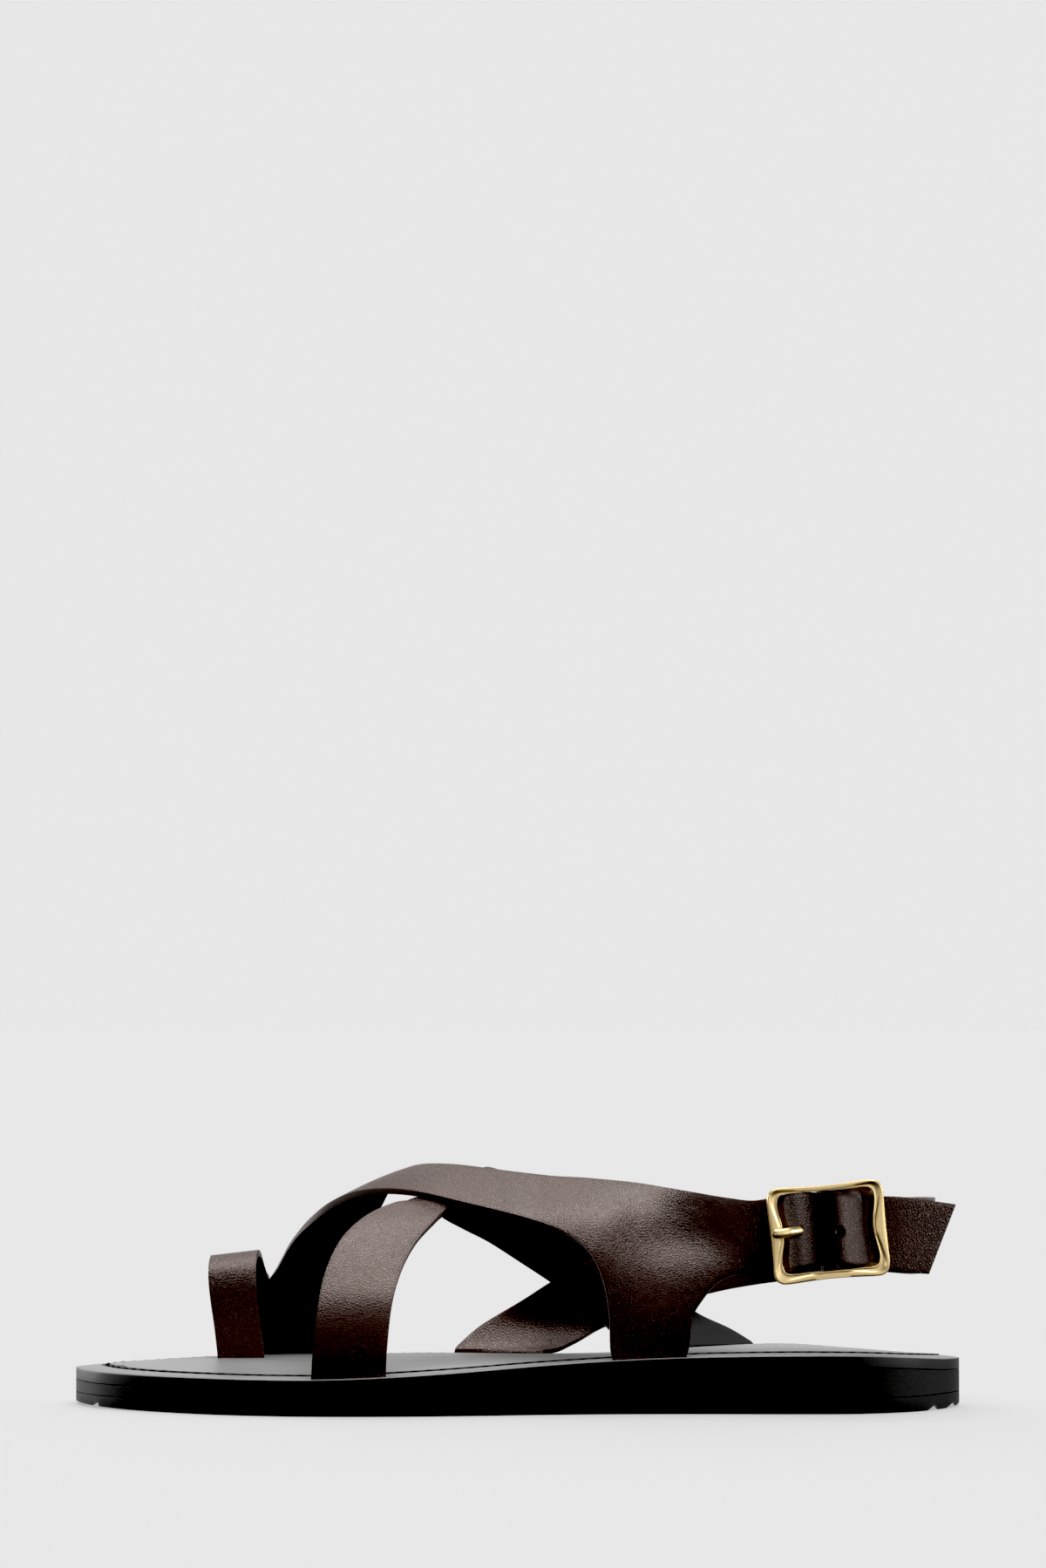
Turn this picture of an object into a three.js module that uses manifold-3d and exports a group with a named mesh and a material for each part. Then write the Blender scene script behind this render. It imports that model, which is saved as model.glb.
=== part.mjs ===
// A flat leather sandal for the left foot, in millimetres. The toe points to -X, the outer
// (little toe) side faces -Y, +Z is up, and the sole stands on z = 0.
// Outsole, midsole and footbed are stacked sections of one outline. The upper is one leather
// solid: a wide main strap with its toe loop, a front strap and a heel strap, which cross and
// join, and end in slots of the footbed. A centre-bar buckle and its prong close it.
import * as THREE from 'three';
import { mergeVertices } from 'three/addons/utils/BufferGeometryUtils.js';
import Module from 'manifold-3d';

const wasm = await Module();
wasm.setup();

// Driving sizes
const halfLength = 128;
const gap = 0.3;
const mainThickness = 2.0;
const frontThickness = 1.8;
const heelThickness = 1.6;
const tabThickness = 1.2;
const tabLength = 9;
const slotInset = 1.9;
const soleSteps = 38;
const soleColumns = 6;
const strapColumns = 4;

// Tables and curves

// A table is a list of rows, each an object with the named columns.
function table(columns, rows) {
  return rows.map((row) => Object.fromEntries(columns.map((name, i) => [name, row[i]])));
}

// Cubic through a column of a table, with the slope at a row taken from its neighbours.
function curve(rows, at, column, place = (value) => value) {
  const t = rows.map((row) => place(row[at]));
  const v = rows.map((row) => row[column]);
  const last = rows.length - 1;
  const slope = v.map((_, i) => {
    const a = Math.max(0, i - 1);
    const b = Math.min(last, i + 1);
    return (v[b] - v[a]) / (t[b] - t[a]);
  });
  return (value) => {
    const s = Math.min(Math.max(place(value), t[0]), t[last]);
    let i = 0;
    while (i < last - 1 && s > t[i + 1]) i++;
    const h = t[i + 1] - t[i];
    const k = (s - t[i]) / h;
    const rise = v[i + 1] - v[i];
    const p = h * slope[i] - rise;
    const q = rise - h * slope[i + 1];
    return v[i] + k * rise + k * (1 - k) * ((1 - k) * p + k * q);
  };
}

const mix = (a, b, k) => a + (b - a) * k;
const clamp = (value, low, high) => Math.min(Math.max(value, low), high);

// Rises from 0 at v = 0 to 1 halfway, and falls to 0 at v = 1
const arch = (v) => 4 * v * (1 - v);

// Solids

function solidFrom(points, faces) {
  const vertProperties = new Float32Array(points.flatMap((p) => [p.x, p.y, p.z]));
  const triVerts = new Uint32Array(faces.flat());
  return new wasm.Manifold(new wasm.Mesh({ numProp: 3, vertProperties, triVerts }));
}

function solidOf(geometry) {
  const bare = geometry.clone();
  bare.deleteAttribute('normal');
  bare.deleteAttribute('uv');
  const merged = mergeVertices(bare, 1e-4);
  return new wasm.Manifold(new wasm.Mesh({
    numProp: 3,
    vertProperties: new Float32Array(merged.attributes.position.array),
    triVerts: new Uint32Array(merged.index.array),
  }));
}

function geometryOf(solid) {
  const mesh = solid.getMesh();
  const geometry = new THREE.BufferGeometry();
  geometry.setAttribute('position', new THREE.BufferAttribute(mesh.vertProperties, 3));
  geometry.setIndex(new THREE.BufferAttribute(mesh.triVerts, 1));
  const loose = geometry.toNonIndexed();
  loose.computeVertexNormals();
  return loose;
}

// Sole: outline and heights

// One row for a section across the sole, from toe to heel: where its outer and inner edges
// are, how high the footbed's rim is above each, and how high the underside is lifted.
const soleRows = table(
  ['x', 'outer', 'inner', 'outerRim', 'innerRim', 'lift'], [
    [-128, 6, 6, 10.6, 10.6, 0.8],
    [-124, -8, 17.5, 10.4, 10.6, 0.65],
    [-119.5, -14.5, 22, 10.3, 10.7, 0.45],
    [-107, -25, 28.5, 10.2, 11.0, 0.1],
    [-86, -37.3, 39, 10.2, 11.5, 0],
    [-66, -43.4, 44.6, 10.2, 11.5, 0],
    [-47, -45, 44.0, 10.5, 11.7, 0],
    [-22, -43.4, 37.4, 11.8, 12.4, 0],
    [9, -38.2, 28.8, 14.0, 12.5, 0],
    [30, -36.0, 26, 15.2, 13.1, 0],
    [52, -35.4, 25.6, 16.0, 14.6, 0],
    [77, -36, 26.3, 16.4, 15.7, 0],
    [97, -35, 22.6, 16.3, 14.6, 0],
    [113, -27.5, 15, 15.3, 13.7, 0],
    [123, -15.5, 7, 14.2, 13.6, 0],
    [128, -2, -2, 13.7, 13.7, 0.8],
  ]);
const soleAngle = (x) => Math.acos(clamp(-x / halfLength, -1, 1));
const outerEdge = curve(soleRows, 'x', 'outer', soleAngle);
const innerEdge = curve(soleRows, 'x', 'inner', soleAngle);
const outerRim = curve(soleRows, 'x', 'outerRim', soleAngle);
const innerRim = curve(soleRows, 'x', 'innerRim', soleAngle);
const liftCurve = curve(soleRows, 'x', 'lift', soleAngle);
const lift = (x) => Math.max(0, liftCurve(x));

const crownHeight = 1.2;
const footbedThickness = { toe: 3.3, heel: 3.1 };
const outsoleTop = { toe: 3.6, heel: 4.4 };
const alongSole = (x) => (x + halfLength) / (2 * halfLength);

// Heights at x and at v, which runs from 0 on the outer edge to 1 on the inner edge
const footbedTop = (x, v) => mix(outerRim(x), innerRim(x), v) + crownHeight * arch(v);
const footbedDepth = (x) => mix(footbedThickness.toe, footbedThickness.heel, alongSole(x));
const footbedSeam = (x, v) => footbedTop(x, v) - footbedDepth(x);
const outsoleSeam = (x) => mix(outsoleTop.toe, outsoleTop.heel, alongSole(x));
const acrossSole = (x, y) => clamp((y - outerEdge(x)) / (innerEdge(x) - outerEdge(x)), 0, 1);

// A slab of the sole between two height functions. Its rows of top and bottom points close to a
// single pair at the toe and at the heel.
function soleLayer(top, bottom) {
  const points = [];
  const faces = [];
  const point = (x, y, z) => points.push(new THREE.Vector3(x, y, z)) - 1;
  const pair = (x, v) => {
    const y = mix(outerEdge(x), innerEdge(x), v);
    return [point(x, y, top(x, v)), point(x, y, bottom(x, v))];
  };
  const grid = [];
  for (let i = 0; i <= soleSteps; i++) {
    const x = -halfLength * Math.cos((Math.PI * i) / soleSteps);
    if (i === 0 || i === soleSteps) {
      grid.push(new Array(soleColumns + 1).fill(pair(x, 0.5)));
      continue;
    }
    const row = [];
    for (let j = 0; j <= soleColumns; j++) {
      row.push(pair(x, (1 - Math.cos((Math.PI * j) / soleColumns)) / 2));
    }
    grid.push(row);
  }
  const quad = (a, b, c, d) => {
    if (a !== b && b !== c && a !== c) faces.push([a, b, c]);
    if (a !== c && c !== d && a !== d) faces.push([a, c, d]);
  };
  for (let i = 0; i < soleSteps; i++) {
    for (let j = 0; j < soleColumns; j++) {
      const [p, q, r, s] = [grid[i][j], grid[i + 1][j], grid[i + 1][j + 1], grid[i][j + 1]];
      quad(p[0], q[0], r[0], s[0]);
      quad(p[1], s[1], r[1], q[1]);
    }
    const [a, b] = [grid[i][0], grid[i + 1][0]];
    quad(a[1], b[1], b[0], a[0]);
    const [c, d] = [grid[i][soleColumns], grid[i + 1][soleColumns]];
    quad(c[0], d[0], d[1], c[1]);
  }
  return solidFrom(points, faces);
}

// Tread: rows of sawtooth grooves across forefoot and heel. They stop short of the side wall,
// apart from those at the very toe and heel, which run out through it.
const groovePitch = 6;
const grooveDepth = 1.6;
const grooveWidth = 3.2;
const grooveCrest = 0.3;
const grooveMargin = 5;
const grooveOverhang = 8;
const treadZones = table(['from', 'to'], [[-124, -22.3], [58.4, 124.7]]);
const throughBeyond = 117;

// A prism that cuts one groove. It reaches below the floor, where it cuts nothing.
function groove(x) {
  const below = 1;
  const half = grooveWidth / 2;
  const profile = new THREE.Shape([
    new THREE.Vector2(x - half, -below),
    new THREE.Vector2(x + half, -below),
    new THREE.Vector2(x + half, 0),
    new THREE.Vector2(x + grooveCrest * grooveWidth, grooveDepth),
    new THREE.Vector2(x - half, 0),
  ]);
  const margin = Math.abs(x) > throughBeyond ? -grooveOverhang : grooveMargin;
  const from = outerEdge(x) + margin;
  const to = innerEdge(x) - margin;
  const prism = new THREE.ExtrudeGeometry(profile, { depth: to - from, bevelEnabled: false });
  prism.rotateX(Math.PI / 2);
  prism.translate(0, to, 0);
  return solidOf(prism);
}

function outsole() {
  let sole = soleLayer((x) => outsoleSeam(x) - gap / 2, lift);
  for (const zone of treadZones) {
    const count = Math.round((zone.to - zone.from) / groovePitch);
    for (let i = 0; i <= count; i++) {
      sole = sole.subtract(groove(mix(zone.from, zone.to, i / count)));
    }
  }
  return sole;
}

// Straps

// A sheet is the middle surface of a strap: rows of points, joined wherever points coincide,
// each with the leather's thickness there.
class Sheet {
  constructor() {
    this.points = [];
    this.thickness = [];
    this.faces = [];
    this.lookup = new Map();
  }

  add(point, thickness) {
    const key = [point.x, point.y, point.z].map((value) => Math.round(value * 1000)).join(' ');
    if (!this.lookup.has(key)) {
      this.lookup.set(key, this.points.length);
      this.points.push(point.clone());
      this.thickness.push(thickness);
    }
    return this.lookup.get(key);
  }

  addRows(rows) {
    const index = rows.map((row) => row.points.map((point) => this.add(point, row.thickness)));
    for (let i = 0; i + 1 < index.length; i++) {
      for (let j = 0; j + 1 < index[i].length; j++) {
        const [a, b, c, d] = [index[i][j], index[i][j + 1], index[i + 1][j + 1], index[i + 1][j]];
        if (a !== b && b !== c && a !== c) this.faces.push([a, b, c]);
        if (a !== c && c !== d && a !== d) this.faces.push([a, c, d]);
      }
    }
    return this;
  }

  normals() {
    const normals = this.points.map(() => new THREE.Vector3());
    const ab = new THREE.Vector3();
    const ac = new THREE.Vector3();
    for (const face of this.faces) {
      const [a, b, c] = face.map((i) => this.points[i]);
      ab.subVectors(b, a);
      ac.subVectors(c, a);
      const normal = new THREE.Vector3().crossVectors(ab, ac);
      face.forEach((i) => normals[i].add(normal));
    }
    return normals.map((normal) => normal.normalize());
  }

  borders() {
    const edges = new Map();
    for (const [a, b, c] of this.faces) {
      for (const [from, to] of [[a, b], [b, c], [c, a]]) edges.set(`${from} ${to}`, [from, to]);
    }
    return [...edges.values()].filter(([from, to]) => !edges.has(`${to} ${from}`));
  }

  // The strap's solid: both faces, and walls along the borders. grow makes it larger all round.
  solid(grow = 0) {
    const normals = this.normals();
    const outward = this.points.map(() => new THREE.Vector3());
    const borders = this.borders();
    for (const [from, to] of borders) {
      const along = new THREE.Vector3().subVectors(this.points[to], this.points[from]).normalize();
      const away = new THREE.Vector3().crossVectors(along, normals[from]).normalize();
      outward[from].add(away);
      outward[to].add(away);
    }
    const count = this.points.length;
    const points = [];
    for (const side of [1, -1]) {
      this.points.forEach((point, i) => {
        const moved = point.clone().addScaledVector(normals[i], side * (this.thickness[i] / 2 + grow));
        if (grow && outward[i].lengthSq() > 0) moved.addScaledVector(outward[i].clone().normalize(), grow);
        points.push(moved);
      });
    }
    const faces = [];
    for (const [a, b, c] of this.faces) {
      faces.push([a, b, c], [a + count, c + count, b + count]);
    }
    for (const [from, to] of borders) {
      faces.push([to, from, from + count], [to, from + count, to + count]);
    }
    return solidFrom(points, faces);
  }
}

const edgeColumns = ['ax', 'ay', 'az', 'bx', 'by', 'bz', 'bulge'];

// Rows of a strap between its edges a and b, by a smooth curve through the stations of its
// table. bulge lifts the middle of a row off the straight line between the edges.
function strapRows(stations, thickness, { inside, steps = 2 }) {
  const last = stations.length - 1;
  const spline = (i, k, name) => {
    const at = (n) => stations[clamp(n, 0, last)][name];
    const [p, q, r, s] = [at(i - 1), at(i), at(i + 1), at(i + 2)];
    return q + 0.5 * k * (r - p + k * (2 * p - 5 * q + 4 * r - s + k * (3 * (q - r) + s - p)));
  };
  const frames = [];
  for (let i = 0; i < last; i++) {
    for (let n = 0; n < steps; n++) frames.push([i, n / steps]);
  }
  frames.push([last - 1, 1]);
  return frames.map(([i, k]) => {
    const value = (name) => spline(i, k, name);
    const a = new THREE.Vector3(value('ax'), value('ay'), value('az'));
    const b = new THREE.Vector3(value('bx'), value('by'), value('bz'));
    const middle = a.clone().lerp(b, 0.5);
    const across = b.clone().sub(a).normalize();
    const outward = middle.clone().sub(inside);
    outward.addScaledVector(across, -outward.dot(across)).normalize();
    const points = [];
    for (let j = 0; j <= strapColumns; j++) {
      const v = j / strapColumns;
      points.push(a.clone().lerp(b, v).addScaledVector(outward, value('bulge') * arch(v)));
    }
    return { points, thickness };
  });
}

// The end of a strap below a row of its points: down through the footbed, round a tight bend
// and flat under the footbed, skived thin. side is the way it turns, +1 towards +Y.
const bendRadius = 1.2;
const bendSteps = 3;
const tabPlay = 0.05;
function tuckedRows({ points, thickness }, side) {
  const rows = [{ points, thickness }];
  const under = (x, y) => footbedSeam(x, acrossSole(x, y)) - gap / 2 - tabPlay - tabThickness / 2;
  const level = points.map((p) => under(p.x, p.y));
  for (let n = 0; n <= bendSteps; n++) {
    const angle = (Math.PI / 2) * (n / bendSteps);
    rows.push({
      points: points.map((p, i) => new THREE.Vector3(
        p.x,
        p.y + side * bendRadius * (1 - Math.cos(angle)),
        level[i] + bendRadius * (1 - Math.sin(angle)),
      )),
      thickness: n === 0 ? thickness : tabThickness,
    });
  }
  rows.push({
    points: points.map((p) => {
      const y = p.y + side * tabLength;
      return new THREE.Vector3(p.x, y, under(p.x, y));
    }),
    thickness: tabThickness,
  });
  return rows;
}

// Middle of a strap's slot beside the outer or the inner edge of the sole, at the rim's height
const outerSlot = (x) => [x, outerEdge(x) + slotInset, outerRim(x)];
const innerSlot = (x) => [x, innerEdge(x) - slotInset, innerRim(x)];

// Points inside the foot, which the straps bulge away from
const insideToe = new THREE.Vector3(-83, 33, 26);
const insideInstep = new THREE.Vector3(-10, 0, 30);
const insideHeel = new THREE.Vector3(60, -2, 40);

// Inner forefoot panel, from the sole up to the notch between toe loop and main strap: the
// places of its front edge, of the line below the notch, and of its rear edge
const panelRows = table(
  ['frontX', 'frontY', 'seamX', 'seamY', 'rearX', 'rearY', 'z'], [
    [-88.2, 36.9, -76.5, 41.0, -53.6, 42.8, 16],
    [-88.9, 37.6, -75.6, 41.6, -53.0, 43.2, 21.5],
    [-89.4, 38.2, -74.8, 42.0, -52.2, 43.4, 27.5],
    [-89.7, 38.6, -74.0, 42.0, -50.8, 43.5, 33],
  ]);

// Toe loop above the panel, from the inner side over the big toe and down between the toes
const loopStations = table(edgeColumns, [
  [-89.7, 38.6, 33, -74.0, 42.0, 33, 0],
  [-90.3, 38.4, 37.2, -75.2, 41.2, 37.6, 0],
  [-90.5, 36, 39.7, -76.0, 37.9, 40.8, 0],
  [-90.5, 32, 40.4, -76.5, 32.6, 42.0, 0],
  [-90.6, 28, 39.9, -76.8, 28.3, 41.3, 0],
  [-90.8, 23.8, 38, -76.9, 24.3, 38.6, 0],
  [-90.7, 21.8, 34, -76.7, 22.4, 34, 0],
  [-90.0, 21.2, 28, -76.1, 22, 27.5, 0],
  [-88.9, 21.3, 20.8, -75.1, 22, 19.7, 0],
  [-88.0, 22, 12.9, -74.2, 22.4, 12.9, 0],
]);

// Main strap above the panel: over the instep to the outer side, where its leg runs down to the
// sole, and on through the buckle. a is its lower (front) edge, b its upper (rear) edge.
const mainStations = table(edgeColumns, [
  [-74.0, 42.0, 33, -50.8, 43.5, 33, 0],
  [-70.2, 41.2, 38, -47.2, 41.7, 43, 0.3],
  [-66.3, 39.6, 44.4, -43.5, 38, 49.8, 0.6],
  [-61.5, 36.3, 50.3, -39.9, 31.5, 56.5, 0.9],
  [-54.3, 27.5, 56.7, -36.3, 24.3, 62.8, 1],
  [-44.6, 13, 60.6, -30.2, 17.5, 67.4, 0.7],
  [-31, -1, 61.1, -19.6, 10.5, 68.2, 0.5],
  [-13, -14, 57.7, -4.8, 2.2, 66.8, 0.6],
  [3.5, -23.6, 54, 9.6, -4, 65.4, 0.6],
  [14.5, -29.6, 50.3, 18.7, -8.6, 65.0, 0],
  [21.3, -32.5, 44.6, 24.6, -11.8, 64.6, 0],
  [24.8, -34, 36.5, 28.5, -14, 64.3, 0],
  [26.3, -34.4, 27.5, 31.2, -15.6, 64.1, 0],
]);

const mainLeg = table(['x', 'rearX', 'rearY', 'rearZ'], [
  [27.3, 33.7, -16.6, 63.9],
  [34, 37.6, -17.6, 63.5],
  [41, 41.8, -18.8, 63.0],
  [47.9, 45.6, -20.6, 62.6],
]);

// Outer side of the main strap: how far in from the line of the slot it leans, at x and at the
// height in each column's name. It fades in over the instep, and out before the buckle.
const sideHeights = [14, 28, 40, 48, 56, 66];
const sideLean = table(['x', ...sideHeights], [
  [5, 0, 0.8, 3.5, 8, 15.5, 34],
  [15, 0, 0.2, 1.5, 4.4, 11, 29],
  [25, 0, -0.2, 0.5, 2.6, 8, 24.5],
  [35, 0, -0.5, 0.1, 2.4, 7, 20],
  [45, 0, -0.8, -0.4, 3.2, 6.2, 13],
  [55, 0, -1, -0.7, 1.8, 3.4, 6],
  [65, 0, -1.2, -1.2, -0.6, 0.4, 1.6],
  [76, -1.2, -1.2, -1.2, -1.2, -1.2, -1.2],
]);
const sideFadeIn = { from: -6, to: 10 };
const sideFadeOut = { from: 62, to: 74 };

const mainBehindLeg = table(edgeColumns, [
  [49.7, -34, 26.5, 48.8, -22.8, 62.2, 0],
  [52.4, -34.4, 31.6, 51.6, -25.6, 61.9, 0],
  [56.6, -34.6, 36.6, 55.8, -28.8, 61.3, 0],
  [62, -34.7, 39.2, 61.1, -32, 60.6, 0],
  [69, -35.2, 40, 67.4, -34.4, 60.1, 0],
  [76.3, -35.3, 39.8, 74.3, -35.3, 60.4, 0],
  [82.3, -37.4, 40.8, 80.3, -37.4, 61.1, 0],
  [86.8, -39.2, 41.6, 84.8, -39.2, 61.8, 0],
  [91.8, -39.2, 41.9, 89.8, -39.2, 61.9, 0],
  [97.3, -37.1, 41.6, 95.3, -37.1, 61.7, 0],
  [102.8, -35.3, 41.2, 100.8, -35.3, 61.4, 0],
  [109, -34.6, 40.0, 110.3, -34.4, 61.0, 0],
  [116.6, -32.3, 39.3, 124.5, -29.6, 58.9, 0],
]);

// Front strap, from the outer side over the instep, under the main strap, and down to the
// inner side. a is its front edge, b its rear edge.
const frontStations = table(edgeColumns, [
  [-57.2, -43.6, 18, -36.3, -43.3, 18.5, 0],
  [-55.8, -41.6, 30, -35.0, -41, 31, 0.3],
  [-54.1, -35.6, 39.1, -32.7, -34, 39.9, 0.5],
  [-50.3, -27.6, 47.6, -28.9, -26, 47.3, 0.6],
  [-44.9, -19.6, 53.2, -23.6, -17.6, 53.2, 0.6],
  [-38.3, -11.6, 56.7, -19.3, -7.4, 57.2, 0.4],
  [-30.5, -2, 58.6, -14.2, 2.2, 61.8, 0.2],
  [-25.6, 7.5, 58, -11.6, 7.2, 65.4, 0],
  [-22.1, 14.5, 53.8, -8.3, 10.5, 67.7, 0],
  [-16.1, 20, 50.2, -1.2, 15.5, 65.2, 0],
  [-8.4, 25, 46.0, 7.0, 21, 60.4, 0],
  [0.6, 29, 40.0, 16.1, 26, 53.7, 0],
  [9.9, 31.3, 33.7, 25.9, 29.5, 45.9, 0],
  [18.4, 31, 27.3, 36.0, 31.5, 37.7, 0],
  [26.0, 29, 21.0, 45.9, 32.5, 29.6, 0],
  [30.7, 26.8, 16.8, 54.3, 31, 23.6, 0],
  [33.8, 25.2, 14.4, 63.2, 28, 19.5, 0],
]);

// Heel strap, from the inner side of the sole back round the heel to the buckle's bar. a is
// its upper edge, b its lower edge.
const heelStations = table(edgeColumns, [
  [-16.0, 36.4, 15.3, 12.2, 28.6, 13.7, 0],
  [-11.3, 38.3, 19.4, 16.1, 30.2, 15.3, 0],
  [-5.4, 38.6, 23.3, 19.5, 31.4, 16.9, 0],
  [1.9, 37, 27.9, 23.3, 32, 18.9, 0],
  [9.4, 34.2, 32.9, 28.0, 31.5, 21.0, 0],
  [16.9, 30.5, 37.5, 33.9, 29.6, 23.6, 0],
  [25.1, 28.2, 41.7, 41.1, 28.2, 26.2, 0],
  [36.7, 28, 46.2, 50.1, 28.6, 28.5, 0],
  [52.2, 29, 50.6, 61.2, 29.2, 31.2, 0],
  [65.2, 29.6, 53.1, 71.6, 29.2, 33.0, 0],
  [80, 28.4, 55.4, 81, 28, 34.2, 0.4],
  [96, 24.6, 57.4, 96, 24.2, 36, 0.8],
  [110.5, 17, 58.9, 109.3, 16.6, 37.4, 0.8],
  [118.3, 6, 59.6, 115.9, 6, 38, 0.8],
  [120.2, -6, 59.9, 117.4, -6, 38.4, 0.8],
  [117.4, -17.5, 60.1, 115, -17.5, 38.8, 0.6],
  [111.8, -26.3, 60.6, 110.8, -26.3, 39.1, 0.4],
  [103, -32.6, 61.3, 104.4, -32.6, 39.9, 0],
]);

// Buckle, in its own turned frame: x to the heel, y away from the foot, z up
const buckleCentre = new THREE.Vector3(88.3, 0, 51.2);
const buckleTilt = THREE.MathUtils.degToRad(5.5);
const frameFront = -39.5;
const frameDepth = 3;
const bar = { y: -35.2, radius: 1.1, reach: 12.4 };
const lug = { halfWidth: 1.6, from: 11.6, to: 13, front: -37.4, back: -34.1 };
const fold = { thickness: 1.3, halfWidth: 11, returnHalfWidth: 10.7, z: 0.3 };
const foldRadius = bar.radius + gap + fold.thickness / 2;
const prong = {
  z: 1,
  radius: 1.15,
  ringInner: 1.4,
  ringOuter: 2.4,
  window: { left: -3.5, right: 2.9, front: -38.6, back: -31, halfHeight: 1.8 },
};

// The main strap's holes behind the one that the prong is in
const holeRadius = 1.4;
const holeDepth = 4;
const holes = table(['x', 'y', 'z'], [[92.5, -38, 51.7], [104.3, -35.4, 51.7]]);

// A point of the buckle's plane, placed in the sandal
function atBuckle(x, y, z) {
  const cos = Math.cos(buckleTilt);
  const sin = Math.sin(buckleTilt);
  return new THREE.Vector3(
    buckleCentre.x + x * cos - z * sin,
    y,
    buckleCentre.z + x * sin + z * cos,
  );
}

// The end of the heel strap, in the buckle's frame: its run up to the bar, and its return on
// the foot side, where it is closed on itself
const foldColumns = ['x', 'y', 'thickness'];
const foldApproach = table(foldColumns, [[9.5, -33.4, 1.6], [5.5, -35, 1.3], [2.6, -36.5, 1.3]]);
const foldReturn = table(foldColumns, [
  [0.6, -33.15, 1.1], [4, -32.85, 1.3], [9, -31.95, 1.3], [15, -31.2, 1.3],
]);
const foldTurns = 8;

function foldRow({ x, y, thickness }, half = fold.halfWidth) {
  const points = [];
  for (let j = 0; j <= strapColumns; j++) {
    points.push(atBuckle(x, y, fold.z + mix(half, -half, j / strapColumns)));
  }
  return { points, thickness };
}

function heelFoldRows() {
  const round = [];
  for (let n = 0; n <= foldTurns; n++) {
    const angle = -Math.PI / 2 - (Math.PI * n) / foldTurns;
    const x = foldRadius * Math.cos(angle);
    round.push({ x, y: bar.y + foldRadius * Math.sin(angle), thickness: fold.thickness });
  }
  const end = { x: 2, y: bar.y + foldRadius, thickness: fold.thickness };
  return [...foldApproach, ...round, end].map((row) => foldRow(row));
}

const heelReturnRows = () => foldReturn.map((row) => foldRow(row, fold.returnHalfWidth));

// A straight row from a to b
function betweenRow(a, b, thickness) {
  const points = [];
  for (let j = 0; j <= strapColumns; j++) points.push(a.clone().lerp(b, j / strapColumns));
  return { points, thickness };
}

// A row of points in the sole's slot, from x = from to x = to
function slotRow(place, from, to, thickness) {
  const points = [];
  for (let j = 0; j <= strapColumns; j++) {
    points.push(new THREE.Vector3(...place(mix(from, to, j / strapColumns))));
  }
  return { points, thickness };
}

const leanCurves = sideHeights.map((z) => ({ z, lean: curve(sideLean, 'x', z) }));

const fade = (value, { from, to }) => {
  const k = clamp((value - from) / (to - from), 0, 1);
  return k * k * (3 - 2 * k);
};

// Moves the points of rows onto the outer side, at their x and z
function ontoOuterSide(rows) {
  for (const { points } of rows) {
    for (const point of points) {
      const leans = leanCurves.map(({ z, lean }) => ({ z, lean: lean(point.x) }));
      const y = outerSlot(point.x)[1] + curve(leans, 'z', 'lean')(point.z);
      const share = fade(point.x, sideFadeIn) * (1 - fade(point.x, sideFadeOut));
      point.y = mix(point.y, y, share);
    }
  }
  return rows;
}

function mainSheet() {
  const sheet = new Sheet();
  const thickness = mainThickness;
  // Inner panel: its front part carries the toe loop, its rear part the main strap
  for (const [left, right] of [['front', 'seam'], ['seam', 'rear']]) {
    const place = (row, side) => new THREE.Vector3(row[`${side}X`], row[`${side}Y`], row.z);
    const rows = panelRows.map((row) => betweenRow(place(row, left), place(row, right), thickness));
    const base = slotRow(innerSlot, rows[0].points[0].x, rows[0].points.at(-1).x, thickness);
    sheet.addRows([...tuckedRows(base, -1).reverse(), ...rows]);
  }
  // Toe loop
  const loop = strapRows(loopStations, thickness, { inside: insideToe });
  sheet.addRows([...loop, ...tuckedRows(loop.at(-1), -1).slice(1)]);
  // Over the instep, down the leg, and on through the buckle
  const over = strapRows(mainStations, thickness, { inside: insideInstep });
  const leg = mainLeg.map((row) => {
    const foot = new THREE.Vector3(...outerSlot(row.x));
    return betweenRow(foot, new THREE.Vector3(row.rearX, row.rearY, row.rearZ), thickness);
  });
  const behind = strapRows(mainBehindLeg, thickness, { inside: insideHeel });
  sheet.addRows(ontoOuterSide([...over, ...leg, ...behind]));
  const legFoot = { points: leg.map((row) => row.points[0]), thickness };
  sheet.addRows(tuckedRows(legFoot, 1));
  return sheet;
}

function frontSheet() {
  const near = slotRow(outerSlot, -57.6, -36.6, frontThickness);
  const far = slotRow(innerSlot, 34.6, 69.8, frontThickness);
  const over = strapRows(frontStations, frontThickness, { inside: insideInstep });
  return new Sheet().addRows([
    ...tuckedRows(near, 1).reverse(), ...over, ...tuckedRows(far, -1),
  ]);
}

function heelSheets() {
  const base = slotRow(innerSlot, -18.3, 7.5, heelThickness);
  const round = strapRows(heelStations, heelThickness, { inside: insideHeel });
  return [
    new Sheet().addRows([...tuckedRows(base, -1).reverse(), ...round, ...heelFoldRows()]),
    new Sheet().addRows(heelReturnRows()),
  ];
}

// Buckle frame: a quarter of its outline, from the middle of the side to the middle of the top,
// with the frame's outer and inner edges
const frameQuarter = table(['outerX', 'outerZ', 'innerX', 'innerZ'], [
  [16.6, 0, 12.9, 0],
  [16.65, 3.6, 13.1, 2.7],
  [16.8, 7.4, 13.7, 5.6],
  [16.8, 10.3, 14.1, 8.2],
  [16.2, 12.5, 13.8, 10.2],
  [14.6, 13.7, 12.6, 11.4],
  [12.2, 13.9, 10.6, 11.7],
  [8, 13.6, 7.4, 11.5],
  [4, 13.4, 3.8, 11.4],
  [0, 13.3, 0, 11.3],
]);

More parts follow.
